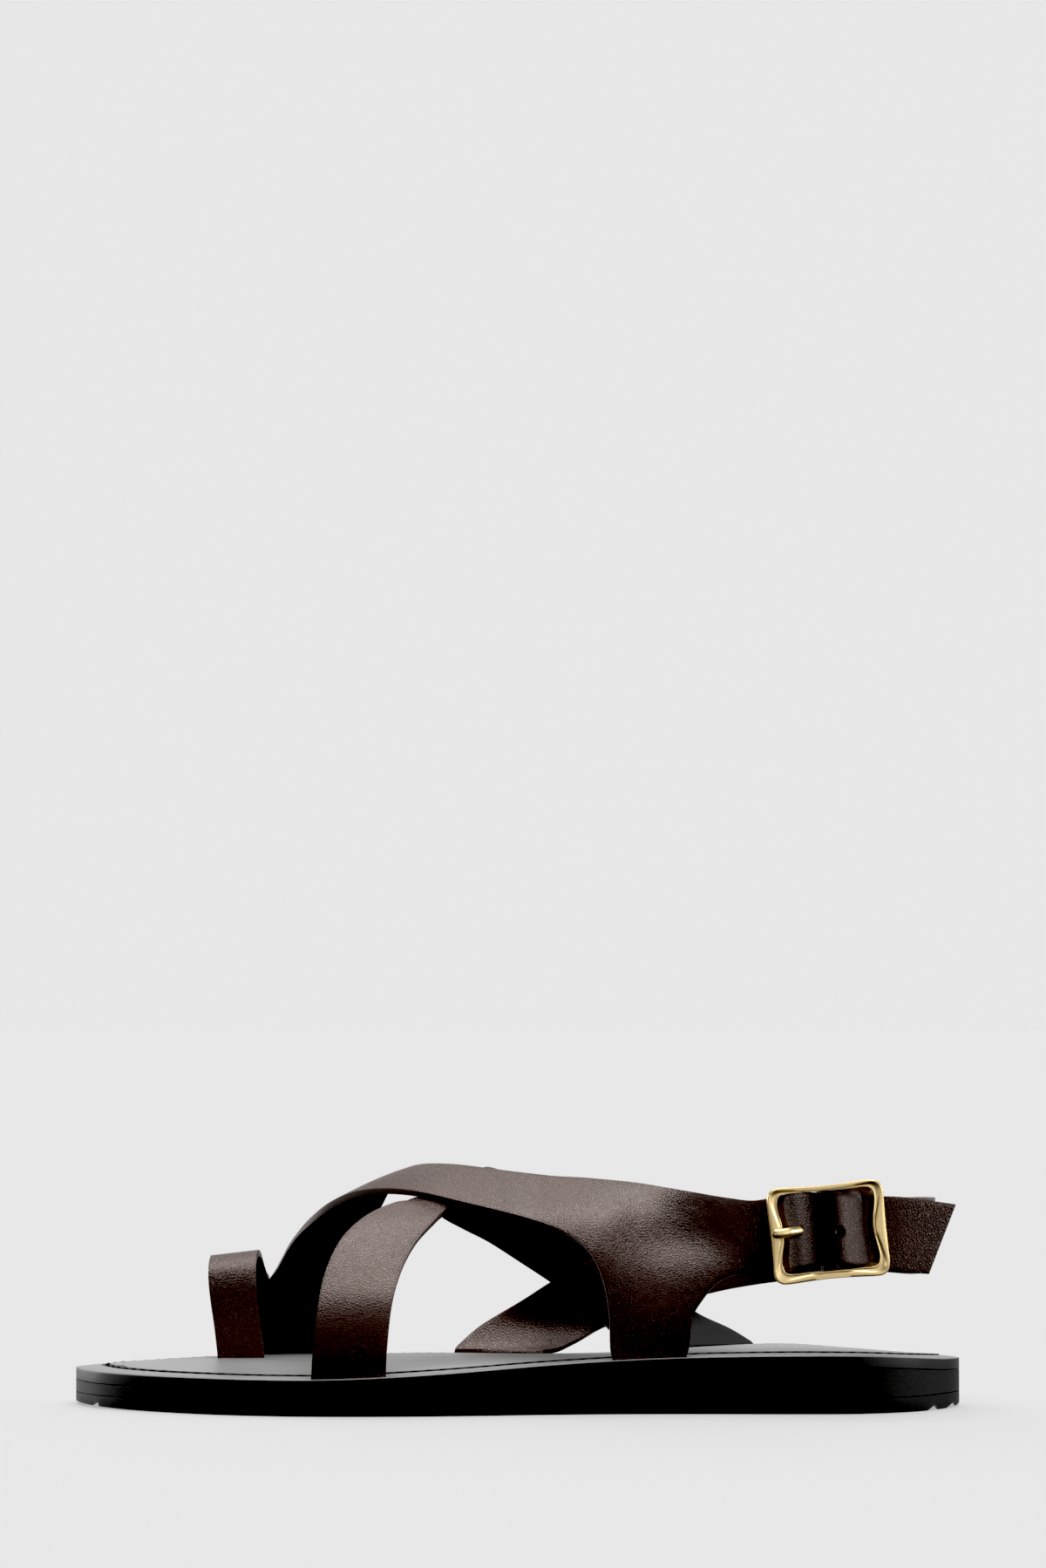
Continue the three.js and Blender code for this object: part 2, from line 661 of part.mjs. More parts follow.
// The frame's section: across is 0 on the inner edge and 1 on the outer, deep is 0 at the front
const frameSection = table(['across', 'deep'], [
  [0, 0.5], [0.1, 0.16], [0.34, 0], [0.66, 0], [0.9, 0.16], [1, 0.5], [0.86, 1], [0.14, 1],
]);

// A geometry made about the buckle's centre, turned and moved to its place
function placedAtBuckle(geometry) {
  const placed = geometry.clone();
  placed.rotateY(-buckleTilt);
  placed.translate(buckleCentre.x, 0, buckleCentre.z);
  return solidOf(placed);
}

// The frame's outline: the quarter, mirrored round the buckle
function frameRing() {
  const last = frameQuarter.length - 1;
  const ring = [];
  for (const [sx, sz, forward] of [[1, 1, true], [-1, 1, false], [-1, -1, true], [1, -1, false]]) {
    for (let n = 0; n < last; n++) {
      const row = frameQuarter[forward ? n : last - n];
      const outer = [sx * row.outerX, sz * row.outerZ];
      const inner = [sx * row.innerX, sz * row.innerZ];
      ring.push({ outer, inner });
    }
  }
  return ring;
}

// The frame's section, carried round its outline
function frameCasting() {
  const ring = frameRing();
  const sides = frameSection.length;
  const points = ring.flatMap(({ outer, inner }) => frameSection.map(({ across, deep }) => atBuckle(
    mix(inner[0], outer[0], across),
    frameFront + deep * frameDepth,
    mix(inner[1], outer[1], across),
  )));
  const corner = (i, j) => (i % ring.length) * sides + (j % sides);
  const faces = ring.flatMap((_, i) => frameSection.flatMap((__, j) => {
    const [a, b, c, d] = [corner(i, j), corner(i, j + 1), corner(i + 1, j + 1), corner(i + 1, j)];
    return [[a, b, c], [a, c, d]];
  }));
  return solidFrom(points, faces);
}

function buckleFrame() {
  const rod = new THREE.CylinderGeometry(bar.radius, bar.radius, 2 * bar.reach, 16);
  rod.rotateX(Math.PI / 2);
  rod.translate(0, bar.y, 0);
  let frame = frameCasting().add(placedAtBuckle(rod));
  for (const side of [1, -1]) {
    const box = new THREE.BoxGeometry(2 * lug.halfWidth, lug.back - lug.front, lug.to - lug.from);
    box.translate(0, (lug.front + lug.back) / 2, side * (lug.from + lug.to) / 2);
    frame = frame.add(placedAtBuckle(box));
  }
  return frame;
}

// The prong's path, from its eye over the strap to the frame
const prongPath = table(['x', 'y'], [
  [-1.6, -35.8],
  [-4.2, -36.5],
  [-7.4, -38],
  [-10.6, -40.2],
  [-14, -40.95],
  [-16.2, -40.7],
]);

function prongPin(grow = 0) {
  const circle = new THREE.Shape().absarc(0, 0, prong.radius + grow, 0, 2 * Math.PI, false);
  const path = new THREE.CatmullRomCurve3(prongPath.map(({ x, y }) => new THREE.Vector3(x, y, prong.z)));
  return placedAtBuckle(
    new THREE.ExtrudeGeometry(circle, { extrudePath: path, steps: 12, curveSegments: 4 }),
  );
}

function buckleProng() {
  const eye = new THREE.Shape().absarc(0, 0, prong.ringOuter, 0, 2 * Math.PI, false);
  eye.holes.push(new THREE.Path().absarc(0, 0, prong.ringInner, 0, 2 * Math.PI, true));
  const width = 2 * prong.radius;
  const ring = new THREE.ExtrudeGeometry(eye, { depth: width, bevelEnabled: false, curveSegments: 8 });
  ring.translate(0, bar.y, prong.z - width / 2);
  return prongPin().add(placedAtBuckle(ring));
}

// The window in the heel strap's fold, which the prong's eye turns in
function foldWindow() {
  const { left, right, front, back, halfHeight } = prong.window;
  const box = new THREE.BoxGeometry(right - left, back - front, 2 * halfHeight);
  box.translate((left + right) / 2, (front + back) / 2, prong.z);
  return placedAtBuckle(box);
}

function strapHoles() {
  return holes.map(({ x, y, z }) => {
    const pin = new THREE.CylinderGeometry(holeRadius, holeRadius, holeDepth, 12);
    pin.translate(x, y, z);
    return solidOf(pin);
  });
}

// Assembly

const mainStrap = mainSheet();
const frontStrap = frontSheet();
const heelStraps = heelSheets();
const straps = [mainStrap, frontStrap, ...heelStraps];

function upper() {
  let main = mainStrap.solid().subtract(prongPin(gap));
  for (const hole of strapHoles()) main = main.subtract(hole);
  const [round, turned] = heelStraps.map((sheet) => sheet.solid());
  const heel = round.add(turned).subtract(foldWindow());
  return main.add(frontStrap.solid()).add(heel);
}

// A layer of the sole with the straps' slots and the beds of their ends cut out of it
function slotted(layer) {
  let cut = layer;
  for (const sheet of straps) cut = cut.subtract(sheet.solid(gap));
  return cut;
}

const footbed = () => slotted(soleLayer(footbedTop, (x, v) => footbedSeam(x, v) + gap / 2));
const midsole = () => slotted(soleLayer(
  (x, v) => footbedSeam(x, v) - gap / 2,
  (x) => outsoleSeam(x) + gap / 2,
));

const looks = {
  outsole: { color: 0x161615, roughness: 0.75, metalness: 0 },
  midsole: { color: 0x191918, roughness: 0.7, metalness: 0 },
  footbed: { color: 0x2b2b2b, roughness: 0.55, metalness: 0 },
  upper: { color: 0x38241f, roughness: 0.5, metalness: 0 },
  buckle_frame: { color: 0xc9a66b, roughness: 0.25, metalness: 1 },
  buckle_prong: { color: 0xc9a66b, roughness: 0.25, metalness: 1 },
};
const makers = {
  outsole, midsole, footbed, upper, buckle_frame: buckleFrame, buckle_prong: buckleProng,
};

const sandal = new THREE.Group();
for (const [name, make] of Object.entries(makers)) {
  const mesh = new THREE.Mesh(geometryOf(make()), new THREE.MeshStandardMaterial(looks[name]));
  mesh.name = name;
  sandal.add(mesh);
}

export default sandal;
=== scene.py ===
import math

import bpy
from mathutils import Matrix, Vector
from mathutils.bvhtree import BVHTree
from mathutils.kdtree import KDTree


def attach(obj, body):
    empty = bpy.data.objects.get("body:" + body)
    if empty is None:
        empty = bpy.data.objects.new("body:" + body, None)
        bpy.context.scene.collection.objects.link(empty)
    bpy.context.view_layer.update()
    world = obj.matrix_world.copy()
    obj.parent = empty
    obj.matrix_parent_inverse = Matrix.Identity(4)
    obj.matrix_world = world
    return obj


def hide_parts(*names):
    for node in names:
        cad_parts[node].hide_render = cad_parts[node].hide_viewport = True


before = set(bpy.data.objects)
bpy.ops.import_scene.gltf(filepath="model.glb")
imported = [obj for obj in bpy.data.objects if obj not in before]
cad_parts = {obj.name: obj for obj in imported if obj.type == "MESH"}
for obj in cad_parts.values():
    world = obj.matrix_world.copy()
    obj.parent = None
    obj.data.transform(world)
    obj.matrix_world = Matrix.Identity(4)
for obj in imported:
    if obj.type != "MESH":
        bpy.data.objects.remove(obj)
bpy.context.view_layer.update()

# Studio
# A camera low in front of the outer side, a pale floor and wall, and a wide soft light overhead.
# Soft boxes over the sandal and at its toe and heel light its leather, and one in front its brass.
camera_place = (0.0019, -1.4, 0.113)
camera_pitch = math.radians(2.733)
lens_length = 110.42
bpy.ops.object.camera_add(location=camera_place, rotation=(math.pi / 2 + camera_pitch, 0, 0))
camera = bpy.context.object
camera.data.lens = lens_length
camera.data.sensor_width = 36
camera.data.clip_end = 200
bpy.context.scene.camera = camera

backdrop_grey = 0.805
floor_glow = 0.435
shadow_black = 0.026


def new_material(name):
    """A material and its shader, with one function that adds a node to it and another that links
    a socket into the shader."""
    material = bpy.data.materials.new(name)
    material.use_nodes = True
    tree = material.node_tree
    shader = tree.nodes["Principled BSDF"]

    def node(kind, inputs=None, **settings):
        made = tree.nodes.new("ShaderNode" + kind)
        for key, value in settings.items():
            setattr(made, key, value)
        for key, value in (inputs or {}).items():
            if isinstance(value, bpy.types.NodeSocket):
                tree.links.new(value, made.inputs[key])
            else:
                made.inputs[key].default_value = value
        return made

    def into(key, socket):
        tree.links.new(socket, shader.inputs[key])

    return material, shader, node, into


bpy.ops.mesh.primitive_plane_add(size=60)
floor = bpy.context.object
floor.name = "floor"
floor_paint, shader, *_ = new_material("pale_floor")
shader.inputs["Base Color"].default_value = (0.55, 0.55, 0.55, 1)
shader.inputs["Roughness"].default_value = 1
shader.inputs["Specular IOR Level"].default_value = 0
shader.inputs["Emission Color"].default_value = (1, 1, 1, 1)
shader.inputs["Emission Strength"].default_value = floor_glow
floor.data.materials.append(floor_paint)
floor.visible_diffuse = False
floor.visible_glossy = False

# The room is bright behind the sandal and dark on the camera's side. The camera itself sees an
# even pale wall in its place.
world = bpy.data.worlds.new("studio")
world.use_nodes = True
bpy.context.scene.world = world
air = world.node_tree
room = air.nodes["Background"]
facing = air.nodes.new("ShaderNodeTexCoord")
parts = air.nodes.new("ShaderNodeSeparateXYZ")
behind = air.nodes.new("ShaderNodeMapRange")
behind.inputs["From Min"].default_value = 0.0
behind.inputs["From Max"].default_value = 0.9
behind.inputs["To Min"].default_value = 0.003
behind.inputs["To Max"].default_value = 1.0
air.links.new(facing.outputs["Generated"], parts.inputs[0])
air.links.new(parts.outputs["Y"], behind.inputs["Value"])
air.links.new(behind.outputs["Result"], room.inputs["Color"])
wall = air.nodes.new("ShaderNodeBackground")
wall.inputs["Color"].default_value = (backdrop_grey, backdrop_grey, backdrop_grey, 1)
seen = air.nodes.new("ShaderNodeLightPath")
either = air.nodes.new("ShaderNodeMixShader")
air.links.new(seen.outputs["Is Camera Ray"], either.inputs["Fac"])
air.links.new(room.outputs[0], either.inputs[1])
air.links.new(wall.outputs[0], either.inputs[2])
air.links.new(either.outputs[0], air.nodes["World Output"].inputs["Surface"])
view = bpy.context.scene.view_settings
view.view_transform = "Standard"
view.use_curve_mapping = True
view.curve_mapping.black_level = (shadow_black, shadow_black, shadow_black)
view.curve_mapping.update()

bpy.ops.object.light_add(type="SUN", location=(0, 0, 3), rotation=(0, 0, 0))
overhead = bpy.context.object
overhead.name = "overhead"
overhead.data.angle = math.radians(60)
overhead.data.energy = 1.4

sandal_only = bpy.data.collections.new("sandal_only")
brass_only = bpy.data.collections.new("brass_only")
sandal_middle = Vector((0, 0, 0.03))


def softbox(name, place, size, power, matt=1.0, lit=sandal_only):
    """A square soft light, turned to the sandal, that only the pieces in lit receive. matt is its
    share in matt reflection."""
    bpy.ops.object.light_add(type="AREA", location=place)
    box = bpy.context.object
    box.name = name
    box.data.size = size
    box.data.energy = power
    box.data.diffuse_factor = matt
    aim = sandal_middle - Vector(place)
    box.rotation_euler = aim.to_track_quat("-Z", "Y").to_euler()
    box.light_linking.receiver_collection = lit


softbox("top_box", (0, -0.06, 0.8), 0.8, 8.6, 0.3)
softbox("toe_box", (-1.0, 0.5, 0.25), 0.35, 8.3)
softbox("heel_box", (1.0, -0.25, 0.3), 0.35, 5.5)
softbox("toe_strip", (-0.69, -0.95, 0.08), 0.12, 1.3, 0.05)
softbox("heel_strip", (0.83, -1.0, 0.08), 0.26, 1.3, 0.05)
softbox("front_box", (0.5, -1.5, 0.45), 1.9, 13, lit=brass_only)

# Outsole
# A sheet of black rubber with a sawtooth tread under forefoot and heel, cemented under the
# midsole and trimmed flush with it.
def table(columns, rows):
    """Rows with their values under the names of the columns."""
    return [dict(zip(columns.split(), row)) for row in rows]


def curve(rows, at, column, place=lambda value: value):
    """A smooth curve through one column of a table."""
    t = [place(row[at]) for row in rows]
    v = [row[column] for row in rows]
    last = len(rows) - 1
    slope = []
    for i in range(last + 1):
        a, b = max(0, i - 1), min(last, i + 1)
        slope.append((v[b] - v[a]) / (t[b] - t[a]))

    def value_at(value):
        s = min(max(place(value), t[0]), t[last])
        i = 0
        while i < last - 1 and s > t[i + 1]:
            i += 1
        h = t[i + 1] - t[i]
        k = (s - t[i]) / h
        rise = v[i + 1] - v[i]
        p = h * slope[i] - rise
        q = rise - h * slope[i + 1]
        return v[i] + k * rise + k * (1 - k) * ((1 - k) * p + k * q)

    return value_at


# A section across the sole in each row, from toe to heel: its two edges, the height of the
# footbed's rim at both, and the lift of the underside.
half_length = 128
sole_rows = table("x outer inner outer_rim inner_rim lift", [
    (-128, 6, 6, 10.6, 10.6, 0.8),
    (-124, -8, 17.5, 10.4, 10.6, 0.65),
    (-119.5, -14.5, 22, 10.3, 10.7, 0.45),
    (-107, -25, 28.5, 10.2, 11.0, 0.1),
    (-86, -37.3, 39, 10.2, 11.5, 0),
    (-66, -43.4, 44.6, 10.2, 11.5, 0),
    (-47, -45, 44.0, 10.5, 11.7, 0),
    (-22, -43.4, 37.4, 11.8, 12.4, 0),
    (9, -38.2, 28.8, 14.0, 12.5, 0),
    (30, -36.0, 26, 15.2, 13.1, 0),
    (52, -35.4, 25.6, 16.0, 14.6, 0),
    (77, -36, 26.3, 16.4, 15.7, 0),
    (97, -35, 22.6, 16.3, 14.6, 0),
    (113, -27.5, 15, 15.3, 13.7, 0),
    (123, -15.5, 7, 14.2, 13.6, 0),
    (128, -2, -2, 13.7, 13.7, 0.8),
])


def mix(a, b, k):
    return a + (b - a) * k


def clamp(value, low, high):
    return min(max(value, low), high)


def sole_angle(x):
    return math.acos(clamp(-x / half_length, -1, 1))


outer_edge, inner_edge, outer_rim, inner_rim, lift_curve = (
    curve(sole_rows, "x", column, sole_angle)
    for column in ("outer", "inner", "outer_rim", "inner_rim", "lift")
)
sheet_at_toe = 3.6
sheet_at_heel = 4.4


def lift(x, y=0):
    return max(0, lift_curve(x))


def along(x):
    return (x + half_length) / (2 * half_length)


def outsole_seam(x, y=0):
    return mix(sheet_at_toe, sheet_at_heel, along(x))


turns = 240


def outline(turn):
    angle = 2 * math.pi * turn / turns
    x = -half_length * math.cos(angle)
    return Vector((x, outer_edge(x) if angle < math.pi else inner_edge(x)))


outline_points = [outline(turn) for turn in range(turns)]
outline_inward = []
for turn in range(turns):
    tangent = outline_points[(turn + 1) % turns] - outline_points[turn - 1]
    outline_inward.append(Vector((-tangent.y, tangent.x)).normalized())

spine_reach = 95


def spine(point):
    x = clamp(point.x, -spine_reach, spine_reach)
    return Vector((x, (outer_edge(x) + inner_edge(x)) / 2))


MM = 0.001


def only(piece):
    bpy.ops.object.select_all(action="DESELECT")
    piece.select_set(True)
    bpy.context.view_layer.objects.active = piece


def laid(name, rows):
    """A grid whose vertices are laid on rows of points, in millimetres."""
    bpy.ops.object.select_all(action="DESELECT")
    bpy.ops.mesh.primitive_grid_add(x_subdivisions=len(rows[0]) - 1, y_subdivisions=len(rows) - 1)
    piece = bpy.context.object
    piece.name = piece.data.name = name
    points = (point for row in rows for point in row)
    for vertex, point in zip(piece.data.vertices, points):
        vertex.co = Vector(point) * MM
    return piece


def merged(piece, reach=0.01):
    """Closes seams and poles, and turns the faces to one side."""
    only(piece)
    bpy.ops.object.mode_set(mode="EDIT")
    bpy.ops.mesh.select_all(action="SELECT")
    bpy.ops.mesh.remove_doubles(threshold=reach * MM)
    bpy.ops.mesh.dissolve_degenerate(threshold=0.001 * MM)
    bpy.ops.mesh.select_all(action="SELECT")
    bpy.ops.mesh.normals_make_consistent(inside=False)
    bpy.ops.object.mode_set(mode="OBJECT")
    return piece


wall_band = 1


def slab(name, rings, widen=lambda x: 1):
    """A closed layer of the sole. Each ring is (inset, share, height): its distance in from the
    outline, then how far it is drawn in to the spine, and its height as a function. Beyond the
    wall band the insets are widened."""
    rows = []
    for inset, share, height in rings:
        row = []
        for turn in range(turns + 1):
            edge = outline_points[turn % turns]
            depth = inset * (widen(edge.x) if inset > wall_band else 1)
            place = (edge + outline_inward[turn % turns] * depth).lerp(spine(edge), share)
            row.append((place.x, place.y, height(place.x, place.y)))
        rows.append(row)
    return merged(laid(name, rows))


def at(height, offset=0.0):
    return lambda x, y: height(x, y) + offset


seam_gap = 0.06
seam_round = 0.1
sheet_round = 0.5
outsole = slab("outsole_sheet", [
    (0, 1, lift),
    (0, 0.5, lift),
    (sheet_round, 0, lift),
    (0.2 * sheet_round, 0, at(lift, 0.3 * sheet_round)),
    (0, 0, at(lift, sheet_round)),
    (0, 0, at(outsole_seam, -seam_gap - seam_round)),
    (seam_round, 0, at(outsole_seam, -seam_gap)),
    (0, 0.5, at(outsole_seam, -seam_gap)),
    (0, 1, at(outsole_seam, -seam_gap)),
])


def finished(piece, *modifiers):
    """Adds each (kind, settings) as a modifier and applies it."""
    for kind, settings in modifiers:
        modifier = piece.modifiers.new(kind.title(), kind)
        for key, value in settings.items():
            setattr(modifier, key, value)
        only(piece)
        bpy.ops.object.modifier_apply(modifier=modifier.name)
    return piece


def joined(name, pieces):
    only(pieces[0])
    for piece in pieces[1:]:
        piece.select_set(True)
    bpy.ops.object.join()
    whole = bpy.context.object
    whole.name = whole.data.name = name
    return whole


def cut(piece, cutter, operation="DIFFERENCE"):
    finished(piece, ("BOOLEAN", {"object": cutter, "operation": operation, "solver": "EXACT"}))
    bpy.data.objects.remove(cutter)
    return piece


groove_pitch = 6
groove_depth = 1.6
groove_width = 3.2
groove_crest = 0.6
groove_margin = 5
groove_overrun = 8
tread_zones = table("first last", [(-121, -22.3), (58.4, 124.7)])
runs_out_beyond = 118


def tread_groove(x):
    """A sawtooth prism across the sole, to cut one groove with."""
    inset = -groove_overrun if abs(x) > runs_out_beyond else groove_margin
    low, high = outer_edge(x) + inset, inner_edge(x) - inset
    half = groove_width / 2
    section = [
        (x - half, -1), (x + half, -1), (x + half, 0), (x + groove_crest * half, groove_depth),
        (x - half, 0),
    ]
    bpy.ops.mesh.primitive_cylinder_add(vertices=len(section), radius=1, depth=2)
    prism = bpy.context.object
    for vertex in prism.data.vertices:
        side = low if vertex.index % 2 == 0 else high
        px, pz = section[vertex.index // 2]
        vertex.co = Vector((px, side, pz)) * MM
    return merged(prism)


tread = []
for zone in tread_zones:
    count = round((zone["last"] - zone["first"]) / groove_pitch)
    for i in range(count + 1):
        tread.append(tread_groove(mix(zone["first"], zone["last"], i / count)))
cut(outsole, joined("tread", tread))


def smooth(piece, degrees):
    only(piece)
    bpy.ops.object.shade_smooth_by_angle(angle=math.radians(degrees))


def shown(piece, slot, material, *nodes):
    """Gives a finished piece its material and body, and hides the solid it stands for. The slot argument
    is not used.
    """
    if material:
        piece.data.materials.clear()
        piece.data.materials.append(material)
    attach(piece, "root")
    if nodes:
        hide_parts(*nodes)
    sandal_only.objects.link(piece)


rubber, shader, node, into = new_material("black_rubber")
place = node("TexCoord").outputs["Object"]
fine = node("TexNoise", {"Vector": place, "Scale": 2600, "Detail": 4, "Roughness": 0.6})
broad = node("TexNoise", {"Vector": place, "Scale": 60, "Detail": 3})
tone = node("ValToRGB", {"Fac": broad.outputs["Fac"]})
tone.color_ramp.elements[0].color = (0.004, 0.004, 0.004, 1)
tone.color_ramp.elements[1].color = (0.010, 0.010, 0.009, 1)
shader.inputs["Specular IOR Level"].default_value = 0.4
into("Base Color", tone.outputs["Color"])
rough = node("MapRange", {"Value": fine.outputs["Fac"], "To Min": 0.5, "To Max": 0.75})
into("Roughness", rough.outputs["Result"])
bump = node("Bump", {"Height": fine.outputs["Fac"], "Strength": 0.5, "Distance": 0.0002})
into("Normal", bump.outputs["Normal"])
smooth(outsole, 35)
shown(outsole, "outsole_rubber", rubber, "outsole")

# Midsole
# Black microcellular rubber, thicker under the heel, cemented on the outsole and ground flush
# with it on the wall.
board_at_toe = 3.3
board_at_heel = 3.1
crown_height = 0.3
inner_drop = 0.7


def across(x, y):
    return clamp((y - outer_edge(x)) / max(inner_edge(x) - outer_edge(x), 0.001), 0, 1)


def rim(x, y):
    v = across(x, y)
    return mix(outer_rim(x), inner_rim(x) - inner_drop, v) + crown_height * 4 * v * (1 - v)


def footbed_seam(x, y):
    return rim(x, y) - mix(board_at_toe, board_at_heel, along(x))


core_inset = 8
midsole = slab("midsole_block", [
    (0, 1, at(outsole_seam, seam_gap)),
    (0, 0.5, at(outsole_seam, seam_gap)),
    (seam_round, 0, at(outsole_seam, seam_gap)),
    (0, 0, at(outsole_seam, seam_gap + seam_round)),
    (0, 0, at(footbed_seam, -seam_gap - seam_round)),
    (seam_round, 0, at(footbed_seam, -seam_gap)),
    (core_inset, 0, at(footbed_seam, -seam_gap)),
    (core_inset, 0.35, at(footbed_seam, -seam_gap)),
    (core_inset, 0.7, at(footbed_seam, -seam_gap)),
    (core_inset, 1, at(footbed_seam, -seam_gap)),
])
smooth(midsole, 35)
shown(midsole, "midsole_rubber", rubber, "midsole")

# Footbed
# Charcoal leather on board, cemented on the midsole. Its rounded margin slopes down outside a
# groove, in which a black seam is sewn all round, and its field stands a little higher.
margin_width = 5.4
margin_rise = 0.6
field_rise = 0.95
edge_round = 0.35
groove_half = 0.7
groove_sink = 0.5


def toe_widening(x):
    return 1 + 0.45 * clamp((-105 - x) / 20, 0, 1)


def margin(inset):
    """The top's height over the rim, at a distance in from the outline."""
    k = clamp(inset / margin_width, 0, 1)
    return margin_rise * (1 - (1 - k) ** 2)


footbed_rings = [
    (core_inset, 1, at(footbed_seam, seam_gap)),
    (core_inset, 0.5, at(footbed_seam, seam_gap)),
    (seam_round, 0, at(footbed_seam, seam_gap)),
    (0, 0, at(footbed_seam, seam_gap + seam_round)),
    (0, 0, at(rim, -edge_round)),
]
round_steps = 4
for step in range(1, round_steps + 1):
    angle = math.pi / 2 * step / round_steps
    inset = edge_round * (1 - math.cos(angle))
    rise = edge_round * (math.sin(angle) - 1) + margin(inset) * step / round_steps
    footbed_rings.append((inset, 0, at(rim, rise)))
for inset in (1.6, 2.6, 3.8, margin_width - 0.4):
    footbed_rings.append((inset, 0, at(rim, margin(inset))))
for offset, height in (
    (-1, margin_rise), (-0.7, margin_rise - groove_sink / 2), (0, margin_rise - groove_sink),
    (0.6, margin_rise - groove_sink / 2), (0.8, field_rise - 0.15), (1.1, field_rise),
):
    inset = margin_width + groove_half * (1 + offset)
    footbed_rings.append((inset, 0, at(rim, height)))
for share in (0, 0.15, 0.35, 0.6, 0.8, 1):
    footbed_rings.append((core_inset, share, at(rim, field_rise)))
footbed = slab("footbed_board", footbed_rings, toe_widening)

charcoal, shader, node, into = new_material("footbed_leather")
place = node("TexCoord").outputs["Object"]
fine = node("TexNoise", {"Vector": place, "Scale": 1500, "Detail": 5})
broad = node("TexNoise", {"Vector": place, "Scale": 35, "Detail": 4})
tone = node("ValToRGB", {"Fac": broad.outputs["Fac"]})
tone.color_ramp.elements[0].color = (0.14, 0.14, 0.14, 1)
tone.color_ramp.elements[1].color = (0.21, 0.21, 0.207, 1)
into("Base Color", tone.outputs["Color"])
rough = node("MapRange", {"Value": broad.outputs["Fac"], "To Min": 0.35, "To Max": 0.52})
into("Roughness", rough.outputs["Result"])
bump = node("Bump", {"Height": fine.outputs["Fac"], "Strength": 0.2, "Distance": 0.0001})
into("Normal", bump.outputs["Normal"])

# Black edge dye for the wall, also laid over the groove as painted shade.
edge_dye_and_groove_shade, shader, node, into = new_material("footbed_edge_dye_and_groove_shade")
place = node("TexCoord").outputs["Object"]
fine = node("TexNoise", {"Vector": place, "Scale": 1400, "Detail": 5})
tone = node("ValToRGB", {"Fac": fine.outputs["Fac"]})
tone.color_ramp.elements[0].color = (0.003, 0.003, 0.003, 1)
tone.color_ramp.elements[1].color = (0.009, 0.009, 0.009, 1)
into("Base Color", tone.outputs["Color"])
shader.inputs["Roughness"].default_value = 0.55
bump = node("Bump", {"Height": fine.outputs["Fac"], "Strength": 0.3, "Distance": 0.0002})
into("Normal", bump.outputs["Normal"])
smooth(footbed, 35)
shown(footbed, "footbed_leather", charcoal, "footbed")

# The wall is dyed black. The groove gets the same black as painted shade in its recess, and the rest is
# charcoal.
footbed.data.materials.append(edge_dye_and_groove_shade)
wall_slope = 0.6
groove_shade_reach = 1.9 * groove_half
outline_tree = KDTree(turns)
for turn, edge in enumerate(outline_points):
    outline_tree.insert((edge.x, edge.y, 0), turn)
outline_tree.balance()
for face in footbed.data.polygons:
    x, y, _ = face.center / MM
    edge, turn, _ = outline_tree.find((x, y, 0))
    inset = (Vector((x, y)) - outline_points[turn]).dot(outline_inward[turn])
    from_groove = inset / toe_widening(edge.x) - margin_width - groove_half
    on_wall = inset < wall_band and face.normal.z < wall_slope
    face.material_index = int(on_wall or abs(from_groove) < groove_shade_reach)

# The seam, one thread stitch after the other along the groove.
stitch_pitch = 4
stitch_length = 3.1
stitch_width = 0.75
stitch_height = 0.6
stitch_rise = 0.07
stitch_taper = 0.2
seam_line = []
for turn in range(turns + 1):
    edge = outline_points[turn % turns]
    inset = (margin_width + groove_half) * toe_widening(edge.x)
    seam_line.append(edge + outline_inward[turn % turns] * inset)
seam_run = [0]
for a, b in zip(seam_line, seam_line[1:]):
    seam_run.append(seam_run[-1] + (b - a).length)
stitch_count = round(seam_run[-1] / stitch_pitch)
stitches = []
n = 0
for i in range(stitch_count):
    run = (i + 0.5) * seam_run[-1] / stitch_count
    while seam_run[n + 1] < run:
        n += 1
    k = (run - seam_run[n]) / (seam_run[n + 1] - seam_run[n])
    middle = seam_line[n].lerp(seam_line[n + 1], k)
    forward = (seam_line[n + 1] - seam_line[n]).normalized()
    level = rim(middle.x, middle.y) + margin_rise + stitch_rise
    bpy.ops.mesh.primitive_uv_sphere_add(segments=10, ring_count=6)
    stitch = bpy.context.object
    for vertex in stitch.data.vertices:
        x, y, z = vertex.co
        x *= stitch_length / 2
        y *= stitch_width / 2
        vertex.co = Vector((
            middle.x + forward.x * x - forward.y * y, middle.y + forward.y * x + forward.x * y,
            level + z * stitch_height / 2 * (1 - stitch_taper * abs(x)),
        )) * MM
    stitches.append(stitch)
stitching = joined("seam_thread", stitches)

thread, shader, node, into = new_material("black_thread")
place = node("TexCoord").outputs["Object"]
twist = node("TexWave", {"Vector": place, "Scale": 700, "Distortion": 1})
tone = node("ValToRGB", {"Fac": twist.outputs["Fac"]})
tone.color_ramp.elements[0].color = (0.002, 0.002, 0.002, 1)
tone.color_ramp.elements[1].color = (0.010, 0.010, 0.010, 1)
into("Base Color", tone.outputs["Color"])
shader.inputs["Roughness"].default_value = 0.9
shader.inputs["Specular IOR Level"].default_value = 0.1
bump = node("Bump", {"Height": twist.outputs["Fac"], "Strength": 0.5, "Distance": 0.0001})
into("Normal", bump.outputs["Normal"])
smooth(stitching, 60)
shown(stitching, None, thread)

# Main strap and toe loop
# One piece of dark brown leather, lined in black: a panel at the inner forefoot splits into the
# loop over the big toe and the wide strap over the instep, with a leg to the sole on the outer
# side and a tail to the buckle. Its feet go through slots and are turned under the footbed.
main_thickness = 2.0
columns = 14
steps = 6
edge_columns = "ax ay az bx by bz bulge"


def between(p, q, r, s, k):
    """A smooth curve's value from q to r, with p before them and s after."""
    return q + 0.5 * k * (r - p + k * (2 * p - 5 * q + 4 * r - s + k * (3 * (q - r) + s - p)))


def along_stations(stations, i, k, name):
    near = [stations[clamp(i + n, 0, len(stations) - 1)][name] for n in (-1, 0, 1, 2)]
    return between(*near, k)


